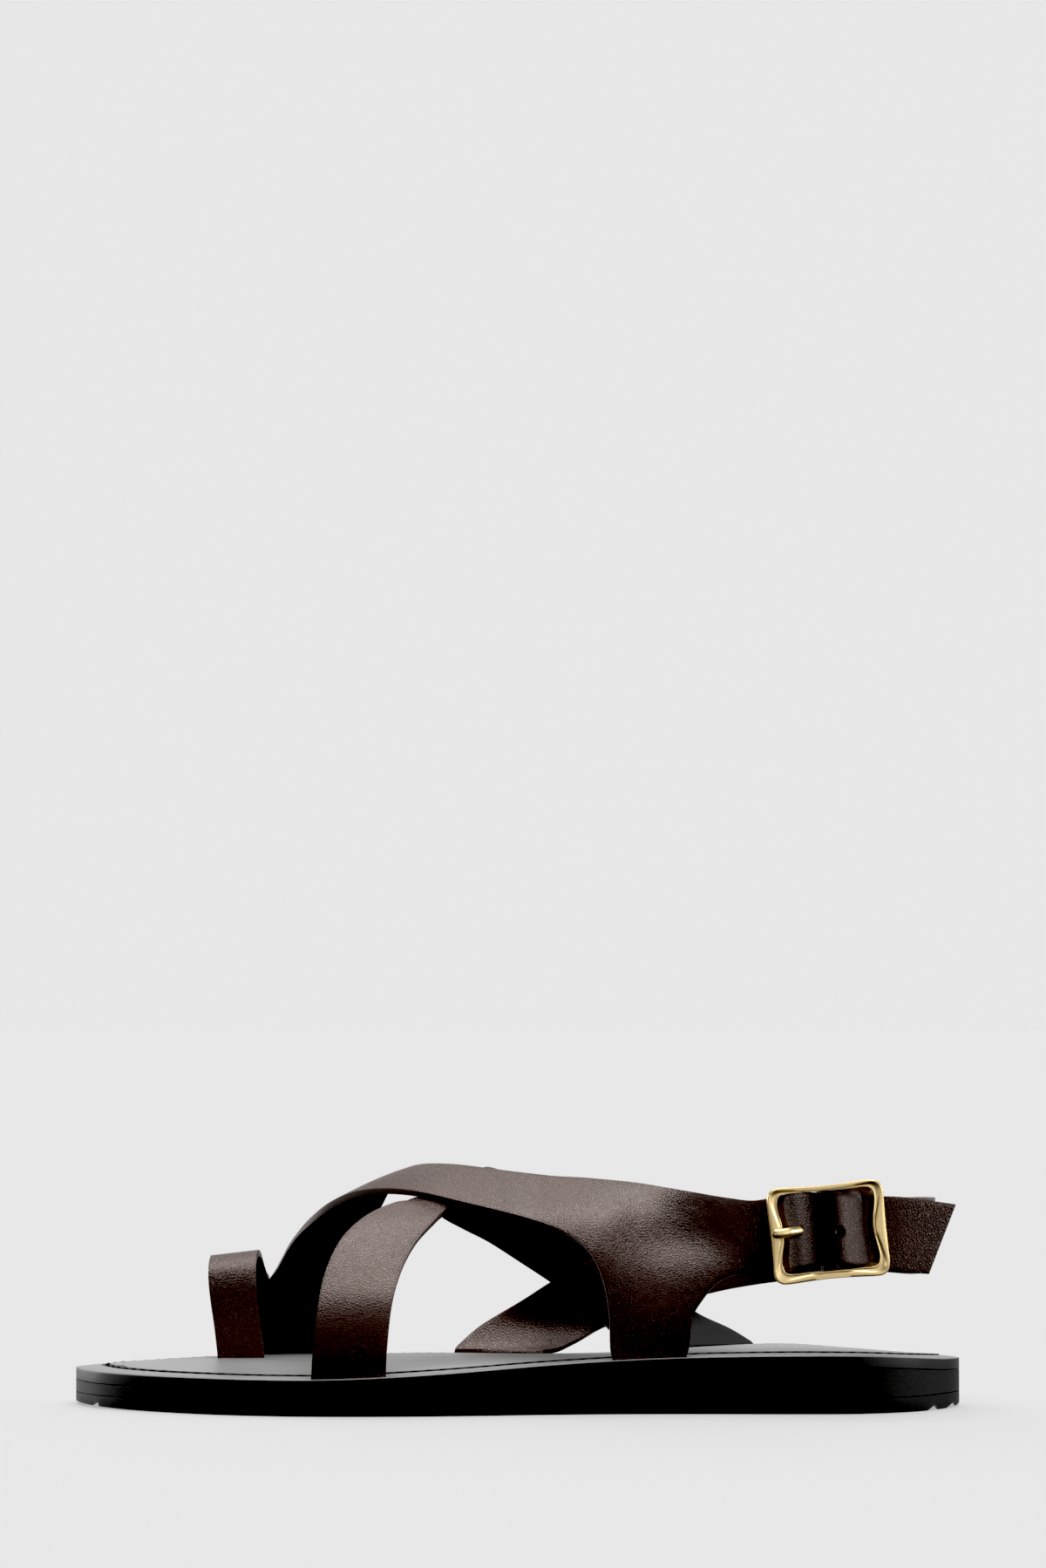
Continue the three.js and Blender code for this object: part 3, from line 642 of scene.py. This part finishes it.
def line(a, b, count=columns):
    return [a.lerp(b, j / count) for j in range(count + 1)]


def strap_rows(stations, inside):
    """Rows of points between the edges a and b of a strap, curved smoothly through its stations.
    Its middle stands off by the bulge, away from the point in the foot that inside gives."""
    places = [(i, n / steps) for i in range(len(stations) - 1) for n in range(steps)]
    places.append((len(stations) - 2, 1.0))
    rows = []
    for i, k in places:
        ax, ay, az, bx, by, bz, bulge = (
            along_stations(stations, i, k, name) for name in edge_columns.split()
        )
        a, b = Vector((ax, ay, az)), Vector((bx, by, bz))
        over = (b - a).normalized()
        outward = (a + b) / 2 - inside((a + b) / 2)
        outward = (outward - over * outward.dot(over)).normalized()
        rows.append([
            point + outward * (bulge * 4 * (j / columns) * (1 - j / columns))
            for j, point in enumerate(line(a, b))
        ])
    return rows


def inside_toe(middle):
    return Vector((-83, 33, 26))


def inside_foot(middle):
    return Vector((0.9 * middle.x, 0, 34))


slot_inset = 1.9
bend_radius = 1.2
bend_steps = 4
tab_length = 9
tab_depth = 0.8


def outer_slot(x):
    return Vector((x, outer_edge(x) + slot_inset, outer_rim(x)))


def tucked(points, side):
    """Rows below a strap's foot: down through its slot, round a bend and flat under the
    footbed. side is the way the end turns, +1 towards the inner side."""
    under = at(footbed_seam, -tab_depth)
    rows = []
    for n in range(bend_steps + 1):
        angle = math.pi / 2 * n / bend_steps
        rows.append([
            Vector((
                p.x,
                p.y + side * bend_radius * (1 - math.cos(angle)),
                under(p.x, p.y) + bend_radius * (1 - math.sin(angle)),
            ))
            for p in points
        ])
    for k in (0.5, 1):
        rows.append([
            Vector((p.x, p.y + side * tab_length * k, under(p.x, p.y + side * tab_length * k)))
            for p in points
        ])
    return rows


leather, shader, node, into = new_material("strap_grain")
place = node("TexCoord").outputs["Object"]
warp = node("TexNoise", {"Vector": place, "Scale": 420, "Detail": 2})
bent = node("MixRGB", {"Fac": 0.0012, "Color1": place, "Color2": warp.outputs["Color"]}, blend_type="ADD")
cells = node("TexVoronoi", {"Vector": bent.outputs["Color"], "Scale": 1400}, feature="DISTANCE_TO_EDGE")
pebble = node("MapRange", {"Value": cells.outputs["Distance"], "From Max": 0.3})
fine = node("TexNoise", {"Vector": place, "Scale": 3000, "Detail": 3})
relief = node("MixRGB", {"Fac": 0.25, "Color1": pebble.outputs["Result"], "Color2": fine.outputs["Fac"]})
broad = node("TexNoise", {"Vector": place, "Scale": 45, "Detail": 4})
tone = node("ValToRGB", {"Fac": broad.outputs["Fac"]})
tone.color_ramp.elements[0].position = 0.35
tone.color_ramp.elements[0].color = (0.020, 0.0075, 0.006, 1)
tone.color_ramp.elements[1].position = 0.68
tone.color_ramp.elements[1].color = (0.032, 0.012, 0.009, 1)
into("Base Color", tone.outputs["Color"])

# The grain is pulled flat where the strap runs through the buckle.
parts = node("SeparateXYZ", {"Vector": place})
before = node("MapRange", {"Value": parts.outputs["X"], "From Min": 0.066, "From Max": 0.078})
after = node("MapRange", {"Value": parts.outputs["X"], "From Min": 0.106, "From Max": 0.103})
pulled = node("Math", {0: before.outputs["Result"], 1: after.outputs["Result"]}, operation="MULTIPLY")
smoothest = node("MapRange", {"Value": pulled.outputs["Value"], "To Min": 0.32, "To Max": 0.26})
roughest = node("MapRange", {"Value": pulled.outputs["Value"], "To Min": 0.55, "To Max": 0.34})
rough = node("MapRange", {
    "Value": relief.outputs["Color"], "To Min": roughest.outputs["Result"],
    "To Max": smoothest.outputs["Result"],
})
into("Roughness", rough.outputs["Result"])
strength = node("MapRange", {"Value": pulled.outputs["Value"], "To Min": 0.42, "To Max": 0.1})
bump = node("Bump", {
    "Height": relief.outputs["Color"], "Strength": strength.outputs["Result"], "Distance": 0.00025,
})
into("Normal", bump.outputs["Normal"])
shader.inputs["Specular IOR Level"].default_value = 0.85
shader.inputs["Specular Tint"].default_value = (1, 0.86, 0.8, 1)

lining, shader, node, into = new_material("strap_lining")
place = node("TexCoord").outputs["Object"]
fine = node("TexNoise", {"Vector": place, "Scale": 1800, "Detail": 4})
broad = node("TexNoise", {"Vector": place, "Scale": 70, "Detail": 3})
tone = node("ValToRGB", {"Fac": broad.outputs["Fac"]})
tone.color_ramp.elements[0].color = (0.007, 0.007, 0.007, 1)
tone.color_ramp.elements[1].color = (0.014, 0.014, 0.014, 1)
into("Base Color", tone.outputs["Color"])
shader.inputs["Roughness"].default_value = 0.62
shader.inputs["Specular IOR Level"].default_value = 0.25
bump = node("Bump", {"Height": fine.outputs["Fac"], "Strength": 0.4, "Distance": 0.0002})
into("Normal", bump.outputs["Normal"])

# Burnished brown edges, lighter than the face: partly their own colour, partly a painted catch-light
# along them.
edge_brown_and_glint, shader, node, into = new_material("strap_edge")
place = node("TexCoord").outputs["Object"]
fine = node("TexNoise", {"Vector": place, "Scale": 1200, "Detail": 5})
tone = node("ValToRGB", {"Fac": fine.outputs["Fac"]})
tone.color_ramp.elements[0].color = (0.045, 0.033, 0.028, 1)
tone.color_ramp.elements[1].color = (0.100, 0.078, 0.068, 1)
into("Base Color", tone.outputs["Color"])
shader.inputs["Roughness"].default_value = 0.6
shader.inputs["Specular IOR Level"].default_value = 0.3
bump = node("Bump", {"Height": fine.outputs["Fac"], "Strength": 0.3, "Distance": 0.0002})
into("Normal", bump.outputs["Normal"])


edge_bevel = 0.3
patch_reach = 0.02


def strap(name, patches, thickness, inside, back):
    """A strap from patches of rows that meet at shared edges: leather on its outer face, back on
    the face to the foot, and burnished edges, lightened to paint in the catch-light along them."""
    sheet = merged(joined(name, [laid(name, rows) for rows in patches]), patch_reach)
    outward = sum(
        face.area * face.normal.dot(face.center - inside(face.center / MM) * MM)
        for face in sheet.data.polygons
    )
    if outward < 0:
        sheet.data.flip_normals()
    for material in (leather, back, edge_brown_and_glint):
        sheet.data.materials.append(material)
    return finished(sheet, ("SOLIDIFY", {
        "thickness": thickness * MM, "offset": 0, "use_even_offset": True,
        "material_offset": 1, "material_offset_rim": 2,
    }))


def bevelled(piece, width):
    return finished(piece, ("BEVEL", {
        "width": width * MM, "segments": 2, "limit_method": "ANGLE",
        "angle_limit": math.radians(50), "harden_normals": False,
    }))


def edges_finished(piece):
    bevelled(piece, edge_bevel)
    smooth(piece, 40)


slot_play = 0.5
slot_heights = (6, 3, 0, -3, -4.5)


def cut_slot(points, thickness):
    """Cuts the footbed's slot for a strap's foot, as thick as the strap and its play."""
    plate = laid("slot", [[Vector((p.x, p.y, p.z + height)) for p in points] for height in slot_heights])
    cut(footbed, finished(plate, ("SOLIDIFY", {"thickness": (thickness + slot_play) * MM, "offset": 0})))
    smooth(footbed, 35)


# The panel's two edges and the line where it splits, by height.
panel_rows = table("front_x seam_x rear_x front_y seam_y rear_y z", [
    (-88.0, -76.9, -53.8, 36.6, 40.6, 42.3, 12.2),
    (-88.2, -76.5, -53.6, 36.9, 41.0, 42.8, 16),
    (-88.9, -75.6, -53.0, 37.6, 41.6, 43.2, 21.5),
    (-89.4, -74.8, -52.2, 38.2, 42.0, 43.4, 27.5),
    (-89.7, -74.0, -50.8, 38.6, 42.0, 43.5, 33),
])

# A station of a strap in each row: its edges a and b, and how far its middle stands off the
# line between them.
loop_stations = table(edge_columns, [
    (-89.7, 38.6, 33, -74.0, 42.0, 33, 0),
    (-90.3, 38.4, 37.2, -75.2, 41.2, 37.6, 0),
    (-90.5, 36, 39.7, -76.0, 37.9, 40.8, 0),
    (-90.5, 32, 40.4, -76.5, 32.6, 42.0, 0),
    (-90.6, 28, 39.9, -76.8, 28.3, 41.3, 0),
    (-90.8, 23.8, 38, -76.9, 24.3, 38.6, 0),
    (-90.7, 21.8, 34, -76.7, 22.4, 34, 0),
    (-90.0, 21.2, 28, -76.1, 22, 27.5, 0),
    (-88.9, 21.3, 20.8, -75.1, 22, 19.7, 0),
    (-88.0, 22, 12.9, -74.2, 22.4, 12.9, 0),
])
main_stations = table(edge_columns, [
    (-74.0, 42.0, 33, -50.8, 43.5, 33, 0),
    (-71.0, 41.2, 38, -47.2, 41.7, 43, 0.3),
    (-67.3, 39.6, 44.6, -43.5, 38, 49.8, 0.6),
    (-62.1, 36.3, 50.6, -39.9, 31.5, 56.5, 0.9),
    (-54.3, 27.5, 56.7, -36.3, 24.3, 62.8, 1),
    (-44.6, 13, 60.6, -30.2, 17.5, 67.4, 0.7),
    (-31, -1, 61.1, -19.6, 10.5, 68.2, 0.5),
    (-13, -14, 57.7, -4.8, 2.2, 66.8, 0.6),
    (3.5, -23.6, 54, 9.6, -4, 65.4, 0.6),
    (14.5, -29.6, 50.3, 18.7, -8.6, 65.0, 0),
    (21.3, -32.5, 44.6, 24.6, -11.8, 64.6, 0),
    (24.8, -34, 36.5, 28.5, -14, 64.3, 0),
    (26.3, -34.4, 27.5, 31.2, -15.6, 64.1, 0),
])

# The leg's foot in its slot, below the rear edge of the strap over it.
leg_first = len(main_stations)
for x, rear_x, rear_y, rear_z in (
    (27.3, 33.7, -16.6, 63.9), (34, 37.6, -17.6, 63.5), (41, 41.8, -18.8, 63.0),
    (47.9, 45.6, -20.6, 62.6),
):
    foot = outer_slot(x)
    row = (foot.x, foot.y, foot.z, rear_x, rear_y, rear_z, 0)
    main_stations.append(dict(zip(edge_columns.split(), row)))
leg_last = len(main_stations) - 1
main_stations += table(edge_columns, [
    (49.7, -34, 26.5, 48.8, -22.8, 62.2, 0),
    (52.4, -34.4, 31.6, 51.6, -25.6, 61.9, 0),
    (56.6, -34.6, 36.6, 55.8, -28.8, 61.3, 0),
    (62, -34.7, 39.2, 61.1, -32, 60.6, 0),
    (69, -35.2, 40, 67.4, -34.4, 60.1, 0),
    (76.3, -35.3, 40.0, 74.3, -35.3, 61.5, 0),
    (82.3, -37.9, 41.2, 80.3, -37.9, 62.8, 0),
    (86.8, -39.1, 42.0, 84.8, -39.1, 62.5, 0),
    (91.8, -39.2, 42.2, 89.8, -39.2, 62.6, 0),
    (97.3, -37.6, 41.7, 95.3, -37.6, 61.8, 0),
    (102.8, -35.3, 41.2, 100.8, -35.3, 61.4, 0),
    (109, -34.0, 40.0, 110.3, -33.8, 61.0, 0),
    (116.6, -32.1, 39.3, 124.5, -29.8, 58.9, 0),
])

# How far in from the line of its slot the outer side leans, at x and at each column's height.
side_heights = "14 28 40 48 56 66"
side_lean = table("x " + side_heights, [
    (5, 0, 0.8, 3.5, 8, 15.5, 34),
    (15, 0, 0.2, 1.5, 4.4, 11, 29),
    (25, 0, -0.2, 0.5, 2.6, 8, 24.5),
    (35, 0, -0.5, 1.2, 5.2, 9.5, 20.5),
    (45, 0, -0.8, 1.2, 6.2, 9, 14),
    (55, 0, -1, 0.2, 3.8, 5.4, 7),
    (65, 0, -1.2, -1.2, -0.6, 0.4, 1.6),
    (76, -1.2, -1.2, -1.2, -1.2, -1.2, -1.2),
])
lean_curves = {float(z): curve(side_lean, "x", z) for z in side_heights.split()}


def fade(value, first, last):
    k = clamp((value - first) / (last - first), 0, 1)
    return k * k * (3 - 2 * k)


leans_from, leans_fully = -6, 10
leans_still, leans_no_more = 62, 74


def onto_outer_side(point):
    leans = [{"z": z, "lean": lean(point.x)} for z, lean in lean_curves.items()]
    y = outer_slot(point.x).y + curve(leans, "z", "lean")(point.z)
    share = fade(point.x, leans_from, leans_fully) * (1 - fade(point.x, leans_still, leans_no_more))
    return Vector((point.x, mix(point.y, y, share), point.z))


panel_steps = 18
panel = {name: curve(panel_rows, "z", name) for name in panel_rows[0]}
panel_front, panel_rear = [], []
for n in range(panel_steps + 1):
    z = mix(panel_rows[0]["z"], panel_rows[-1]["z"], n / panel_steps)
    front, seam, rear = (
        Vector((panel[side + "_x"](z), panel[side + "_y"](z), z)) for side in ("front", "seam", "rear")
    )
    panel_front.append(line(front, seam))
    panel_rear.append(line(seam, rear))
loop_rows = strap_rows(loop_stations, inside_toe)
main_rows = [[onto_outer_side(point) for point in row] for row in strap_rows(main_stations, inside_foot)]

# A web of leather rounds the notch between loop and strap.
notch_sag = 0.72
notch_fullness = 0.6
notch_columns = 8
notch_steps = 4
apex = loop_rows[0][-1]
notch_web = [[apex] * (notch_columns + 1)]
for i in range(1, notch_steps + 1):
    row = []
    for j, point in enumerate(line(loop_rows[i][-1], main_rows[i][0], notch_columns)):
        k = j / notch_columns
        row.append(apex + (point - apex) * (1 - notch_sag * (4 * k * (1 - k)) ** notch_fullness))
    notch_web.append(row)

leg_foot = [row[0] for row in main_rows[leg_first * steps: leg_last * steps + 1]]
main_feet = [
    (panel_front[0], -1), (panel_rear[0], -1), (loop_rows[-1], -1), (leg_foot, 1),
]
main_strap = strap(
    "main_strap",
    [panel_front, panel_rear, loop_rows, main_rows, notch_web]
    + [[foot, *tucked(foot, side)] for foot, side in main_feet],
    main_thickness, inside_foot, lining,
)

# Three holes punched for the prong.
hole_radius = 1.4
hole_length = 8
hole_y, hole_z = -38.5, 51.7
for x in (79.7, 91.4, 103.1):
    bpy.ops.mesh.primitive_cylinder_add(
        vertices=28, radius=hole_radius * MM, depth=hole_length * MM,
        location=Vector((x, hole_y, hole_z)) * MM, rotation=(math.pi / 2, 0, 0),
    )
    cut(main_strap, bpy.context.object)
edges_finished(main_strap)
shown(main_strap, "strap_leather", None, "upper")
for foot, _ in main_feet:
    cut_slot(foot, main_thickness)

# Front strap
# A strip of the same leather from the outer forefoot over the instep, under the main strap, and
# down to the inner heel. The heel strap comes through a slit in it.
front_thickness = 1.8
front_stations = table(edge_columns, [
    (-57.6, -43.1, 10.2, -36.6, -42.6, 10.9, 0),
    (-57.2, -43.6, 18, -36.3, -43.3, 18.5, 0),
    (-55.8, -41.6, 30, -35.0, -41, 31, 0.3),
    (-54.1, -35.6, 39.1, -32.7, -34, 39.9, 0.5),
    (-50.3, -27.6, 47.6, -28.9, -26, 47.3, 0.6),
    (-44.9, -19.6, 53.2, -23.6, -17.6, 53.2, 0.6),
    (-38.3, -11.6, 56.7, -19.3, -7.4, 57.2, 0.4),
    (-30.5, -2, 58.6, -14.2, 2.2, 61.8, 0.2),
    (-25.6, 7.5, 58, -11.6, 7.2, 65.4, 0),
    (-22.1, 14.5, 53.8, -8.3, 10.5, 67.7, 0),
    (-16.1, 20, 50.2, -1.2, 15.5, 65.2, 0),
    (-8.4, 25, 46.0, 7.0, 21, 60.4, 0),
    (0.6, 29, 40.0, 16.1, 26, 53.7, 0),
    (9.9, 31.3, 33.7, 25.9, 29.5, 45.9, 0),
    (18.4, 31, 27.3, 36.0, 31.5, 37.7, 0),
    (26.0, 29, 21.0, 45.9, 32.5, 29.6, 0),
    (30.7, 26.8, 16.8, 54.3, 31, 23.6, 0),
    (33.8, 25.2, 14.4, 63.2, 28, 19.5, 0),
])
front_outer_foot = (-57.6, -36.6)
front_inner_foot = (34.6, 69.8)


def inner_slot(x):
    return Vector((x, inner_edge(x) - slot_inset, inner_rim(x)))


def foot_in(slot, ends):
    """A strap's foot in its slot, as a row of points between the slot's two ends."""
    return [slot(mix(*ends, j / columns)) for j in range(columns + 1)]


a, b = (inner_slot(x) for x in front_inner_foot)
front_stations.append(dict(zip(edge_columns.split(), (*a, *b, 0))))
front_rows = strap_rows(front_stations, inside_foot)
front_rows[0] = foot_in(outer_slot, front_outer_foot)
front_rows[-1] = foot_in(inner_slot, front_inner_foot)

over_instep = laid("main_strap_middle", main_rows[: leg_first * steps])
under_main = BVHTree.FromPolygons(
    [vertex.co / MM for vertex in over_instep.data.vertices],
    [tuple(face.vertices) for face in over_instep.data.polygons],
)
bpy.data.objects.remove(over_instep)
strap_play = 0.1
laid_depth = main_thickness / 2 + front_thickness / 2 + strap_play
crossing_margin = 6
crossing_depth = 4


def laid_under(point):
    """A point near the main strap, moved down to lie under it."""
    place, normal, *_ = under_main.find_nearest(point)
    if normal.dot(place - inside_foot(place)) < 0:
        normal = -normal
    height = (point - place).dot(normal)
    sideways = (point - place - normal * height).length
    if sideways > crossing_margin or height < -laid_depth - crossing_depth:
        return point
    ease = 1 - sideways / crossing_margin
    return point - normal * max(0, height + laid_depth) * ease


front_rows = [[laid_under(point) for point in row] for row in front_rows]
front_feet = [(front_rows[0], 1), (front_rows[-1], -1)]
front_strap = strap(
    "front_strap", [front_rows] + [[foot, *tucked(foot, side)] for foot, side in front_feet],
    front_thickness, inside_foot, lining,
)
shown(front_strap, "strap_leather", None, "upper")
for foot, _ in front_feet:
    cut_slot(foot, front_thickness)

# Heel strap
# A strip of thinner leather, grain on both faces, from the inner waist through the slit in the
# front strap and round the heel. Its end folds round the buckle's bar and is closed on itself.
heel_thickness = 1.6
heel_stations = table(edge_columns, [
    (-18.3, 34.2, 13.0, 7.5, 27.3, 13.0, 0),
    (-16.0, 36.4, 15.3, 12.2, 28.6, 13.7, 0),
    (-11.3, 38.3, 19.4, 16.1, 30.2, 15.3, 0),
    (-5.4, 38.6, 23.3, 19.5, 31.4, 16.9, 0),
    (1.9, 37, 27.9, 23.3, 32, 18.9, 0),
    (9.4, 34.2, 32.9, 28.0, 31.5, 21.0, 0),
    (16.9, 30.5, 37.5, 33.9, 29.6, 23.6, 0),
    (25.1, 28.2, 41.7, 41.1, 28.2, 26.2, 0),
    (36.7, 28, 46.2, 50.1, 28.6, 28.5, 0),
    (52.2, 29, 50.6, 61.2, 29.2, 31.2, 0),
    (65.2, 29.6, 53.1, 71.6, 29.2, 33.0, 0),
    (80, 28.4, 55.4, 81, 28, 34.2, 0.4),
    (96, 24.6, 57.4, 96, 24.2, 36, 0.8),
    (110.5, 17, 58.9, 109.3, 16.6, 37.4, 0.8),
    (118.3, 6, 59.6, 115.9, 6, 38, 0.8),
    (120.2, -6, 59.9, 117.4, -6, 38.4, 0.8),
    (117.4, -17.5, 60.1, 115, -17.5, 38.8, 0.6),
    (111.8, -26.3, 60.6, 110.8, -26.3, 39.1, 0.4),
    (103, -32.6, 61.3, 104.4, -32.6, 39.9, 0),
])
heel_foot = (-18.3, 7.5)


def inside_heel(middle):
    return Vector((60, -2, 40))


buckle_centre = Vector((88.05, 0, 51.45))
buckle_tilt = math.radians(5.5)


def at_buckle(x, y, z):
    """A point of the buckle's own turned frame: x to the heel, z up."""
    cos, sin = math.cos(buckle_tilt), math.sin(buckle_tilt)
    return Vector((buckle_centre.x + x * cos - z * sin, y, buckle_centre.z + x * sin + z * cos))


bar_y = -35.2
bar_radius = 1.1
fold_thickness = 1.4
fold_play = 0.3
fold_radius = bar_radius + fold_play + fold_thickness / 2
fold_half_width = 11.2
fold_z = 0.3
fold_steps = 12


def fold_row(x, y):
    upper, lower = fold_z + fold_half_width, fold_z - fold_half_width
    return [at_buckle(x, y, mix(upper, lower, j / columns)) for j in range(columns + 1)]


heel_rows = strap_rows(heel_stations, inside_heel)
heel_rows[0] = foot_in(inner_slot, heel_foot)
fold_path = [(9.5, -33.4), (7.5, -34.1), (5.5, -35), (4, -35.8), (2.6, -36.5), (1.3, -37.1)]
for n in range(fold_steps + 1):
    angle = -math.pi / 2 - math.pi * n / fold_steps
    fold_path.append((fold_radius * math.cos(angle), bar_y + fold_radius * math.sin(angle)))
fold_path += [(1.5, -33.1), (3.5, -32.9), (6, -32.5), (9, -31.95), (12, -31.5), (15, -31.2)]
heel_rows += [fold_row(x, y) for x, y in fold_path]
heel_strap = strap(
    "heel_strap", [heel_rows, [heel_rows[0], *tucked(heel_rows[0], -1)]],
    heel_thickness, inside_heel, leather,
)
edges_finished(heel_strap)
shown(heel_strap, "strap_leather", None, "upper")
cut_slot(heel_rows[0], heel_thickness)

# The slit is cut in the front strap where this one passes through, and its edges are finished.
slit_play = 0.9
slit_first, slit_last = 4, 9
slit = laid("slit", heel_rows[slit_first * steps: slit_last * steps])
finished(slit, ("SOLIDIFY", {"thickness": (heel_thickness + slit_play) * MM, "offset": 0}))
cut(front_strap, slit)
edges_finished(front_strap)

# Buckle frame
# A gold-coloured casting with a flat face, a hollow towards the window with a bright lip, and
# a centre bar on two lugs behind.
frame_front = -39.5
frame_depth = 3
window_rise = 0.45
frame_quarter = table("outer_x outer_z inner_x inner_z ridge", [
    (16.4, 0, 12.6, 0, 0.26),
    (16.45, 3.6, 12.8, 2.7, 0.32),
    (16.5, 7.3, 13.4, 5.6, 0.52),
    (16.5, 10.1, 13.7, 8.2, 0.7),
    (15.9, 12.2, 13.3, 10.1, 0.8),
    (14.4, 13.4, 12.2, 11.1, 0.76),
    (12, 13.6, 10.3, 11.3, 0.62),
    (8, 13.4, 7.3, 11.3, 0.44),
    (4, 13.2, 3.8, 11.3, 0.34),
    (0, 13.1, 0, 11.3, 0.3),
])
ring = []
last = len(frame_quarter) - 1
for sign_x, sign_z, forward in ((1, 1, True), (-1, 1, False), (-1, -1, True), (1, -1, False)):
    for n in range(last):
        row = frame_quarter[n if forward else last - n]
        ring.append({
            "outer_x": sign_x * row["outer_x"], "outer_z": sign_z * row["outer_z"],
            "inner_x": sign_x * row["inner_x"], "inner_z": sign_z * row["inner_z"] + window_rise,
            "ridge": row["ridge"],
        })


def ring_value(place, name):
    near = [ring[(int(place) + n) % len(ring)][name] for n in (-1, 0, 1, 2)]
    return between(*near, place - int(place))


def frame_section(ridge):
    """The frame's section: share is 0 at the window and 1 outside, deep is 0 at the face and 1
    behind. ridge is the share at which the hollow begins."""
    return [
        (1, 0.85), (1, 0.3), (0.985, 0.14), (0.95, 0.04), (0.9, 0), (mix(ridge, 0.9, 0.6), 0),
        (mix(ridge, 0.9, 0.25), 0), (ridge, 0.005), (mix(ridge, 0.1, 0.15), 0.04),
        (mix(ridge, 0.1, 0.35), 0.11), (mix(ridge, 0.1, 0.6), 0.17), (mix(ridge, 0.1, 0.85), 0.17),
        (0.1, 0.13), (0.06, 0.13), (0.02, 0.17), (0, 0.26), (0, 0.8), (0.06, 0.95), (0.2, 1), (0.9, 1),
    ]


around = 160
sides = len(frame_section(0.5))
bpy.ops.object.select_all(action="DESELECT")
bpy.ops.mesh.primitive_torus_add(major_segments=around, minor_segments=sides)
buckle = bpy.context.object
buckle.name = buckle.data.name = "buckle_casting"
for vertex in buckle.data.vertices:
    place = (vertex.index // sides) * len(ring) / around
    share, deep = frame_section(ring_value(place, "ridge"))[vertex.index % sides]
    x = mix(ring_value(place, "inner_x"), ring_value(place, "outer_x"), share)
    z = mix(ring_value(place, "inner_z"), ring_value(place, "outer_z"), share)
    vertex.co = at_buckle(x, frame_front + deep * frame_depth, z) * MM
merged(buckle)


def set_in_buckle(piece):
    """Moves a primitive made about the buckle's centre into its place."""
    for vertex in piece.data.vertices:
        x, y, z = vertex.co / MM
        vertex.co = at_buckle(x, y, z) * MM
    return piece


bar_length = 24.8
bpy.ops.mesh.primitive_cylinder_add(vertices=24, radius=bar_radius * MM, depth=bar_length * MM)
bar = bpy.context.object
for vertex in bar.data.vertices:
    vertex.co.y += bar_y * MM
cut(buckle, set_in_buckle(bar), "UNION")
lug_width, lug_depth, lug_height = 3.2, 3.3, 1.4
lug_y, lug_z = -35.75, 12.3
lug_bevel = 0.35
for side in (1, -1):
    bpy.ops.mesh.primitive_cube_add(size=1)
    lug = bpy.context.object
    for vertex in lug.data.vertices:
        x, y, z = vertex.co
        vertex.co = Vector((x * lug_width, lug_y + y * lug_depth, side * lug_z + z * lug_height)) * MM
    cut(buckle, set_in_buckle(bevelled(lug, lug_bevel)), "UNION")

brass, shader, node, into = new_material("satin_brass")
place = node("TexCoord").outputs["Object"]
fine = node("TexNoise", {"Vector": place, "Scale": 500, "Detail": 2})
tone = node("ValToRGB", {"Fac": fine.outputs["Fac"]})
tone.color_ramp.elements[0].color = (0.58, 0.43, 0.21, 1)
tone.color_ramp.elements[1].color = (0.72, 0.57, 0.32, 1)
into("Base Color", tone.outputs["Color"])
shader.inputs["Metallic"].default_value = 1
rough = node("MapRange", {"Value": fine.outputs["Fac"], "To Min": 0.34, "To Max": 0.44})
into("Roughness", rough.outputs["Result"])
bump = node("Bump", {"Height": fine.outputs["Fac"], "Strength": 0.05, "Distance": 0.0001})
into("Normal", bump.outputs["Normal"])
smooth(buckle, 45)
shown(buckle, "buckle_brass", brass, "buckle_frame")
brass_only.objects.link(buckle)

# Prong
# A round brass pin, bent over the strap from its eye on the bar to its blunt tip on the frame.
prong_path = table("x y", [
    (-1.6, -35.8), (-5, -36.6), (-8.5, -38.3), (-11.4, -40.4), (-14, -40.95), (-16, -40.7),
])
prong_radius = 1.45
prong_flatness = 0.8
prong_z = 1
prong_sides = 20
tip_rounding = 0.9
tangent_step = 0.05
prong_rows = []
bends = len(prong_path) - 1
for n in range(bends * steps + 1):
    i = min(n // steps, bends - 1)
    k = n / steps - i
    centre, ahead, back = (
        Vector([along_stations(prong_path, i, place, name) for name in "xy"])
        for place in (k, min(k + tangent_step, 1), max(k - tangent_step, 0))
    )
    tangent = (ahead - back).normalized()
    normal = Vector((-tangent.y, tangent.x))
    to_tip = min((bends - n / steps) / tip_rounding, 1)
    radius = prong_radius * math.sqrt(1 - (1 - to_tip) ** 2)
    row = []
    for j in range(prong_sides + 1):
        angle = 2 * math.pi * j / prong_sides
        out = radius * prong_flatness * math.cos(angle)
        row.append(at_buckle(
            centre.x + normal.x * out, centre.y + normal.y * out, prong_z + radius * math.sin(angle),
        ))
    prong_rows.append(row)
middle = sum(prong_rows[0][:-1], Vector()) / prong_sides
prong_rows.insert(0, [middle] * (prong_sides + 1))
prong = merged(laid("prong_pin", prong_rows))
eye_radius = 1.9
eye_thickness = 0.5
eye_stretch = 2
bpy.ops.mesh.primitive_torus_add(
    major_segments=32, minor_segments=12, major_radius=eye_radius * MM,
    minor_radius=eye_thickness * MM,
)
eye = bpy.context.object
for vertex in eye.data.vertices:
    vertex.co.z = vertex.co.z * eye_stretch + prong_z * MM
    vertex.co.y += bar_y * MM
cut(prong, set_in_buckle(eye), "UNION")
smooth(prong, 40)
shown(prong, "buckle_brass", brass, "buckle_prong")
brass_only.objects.link(prong)
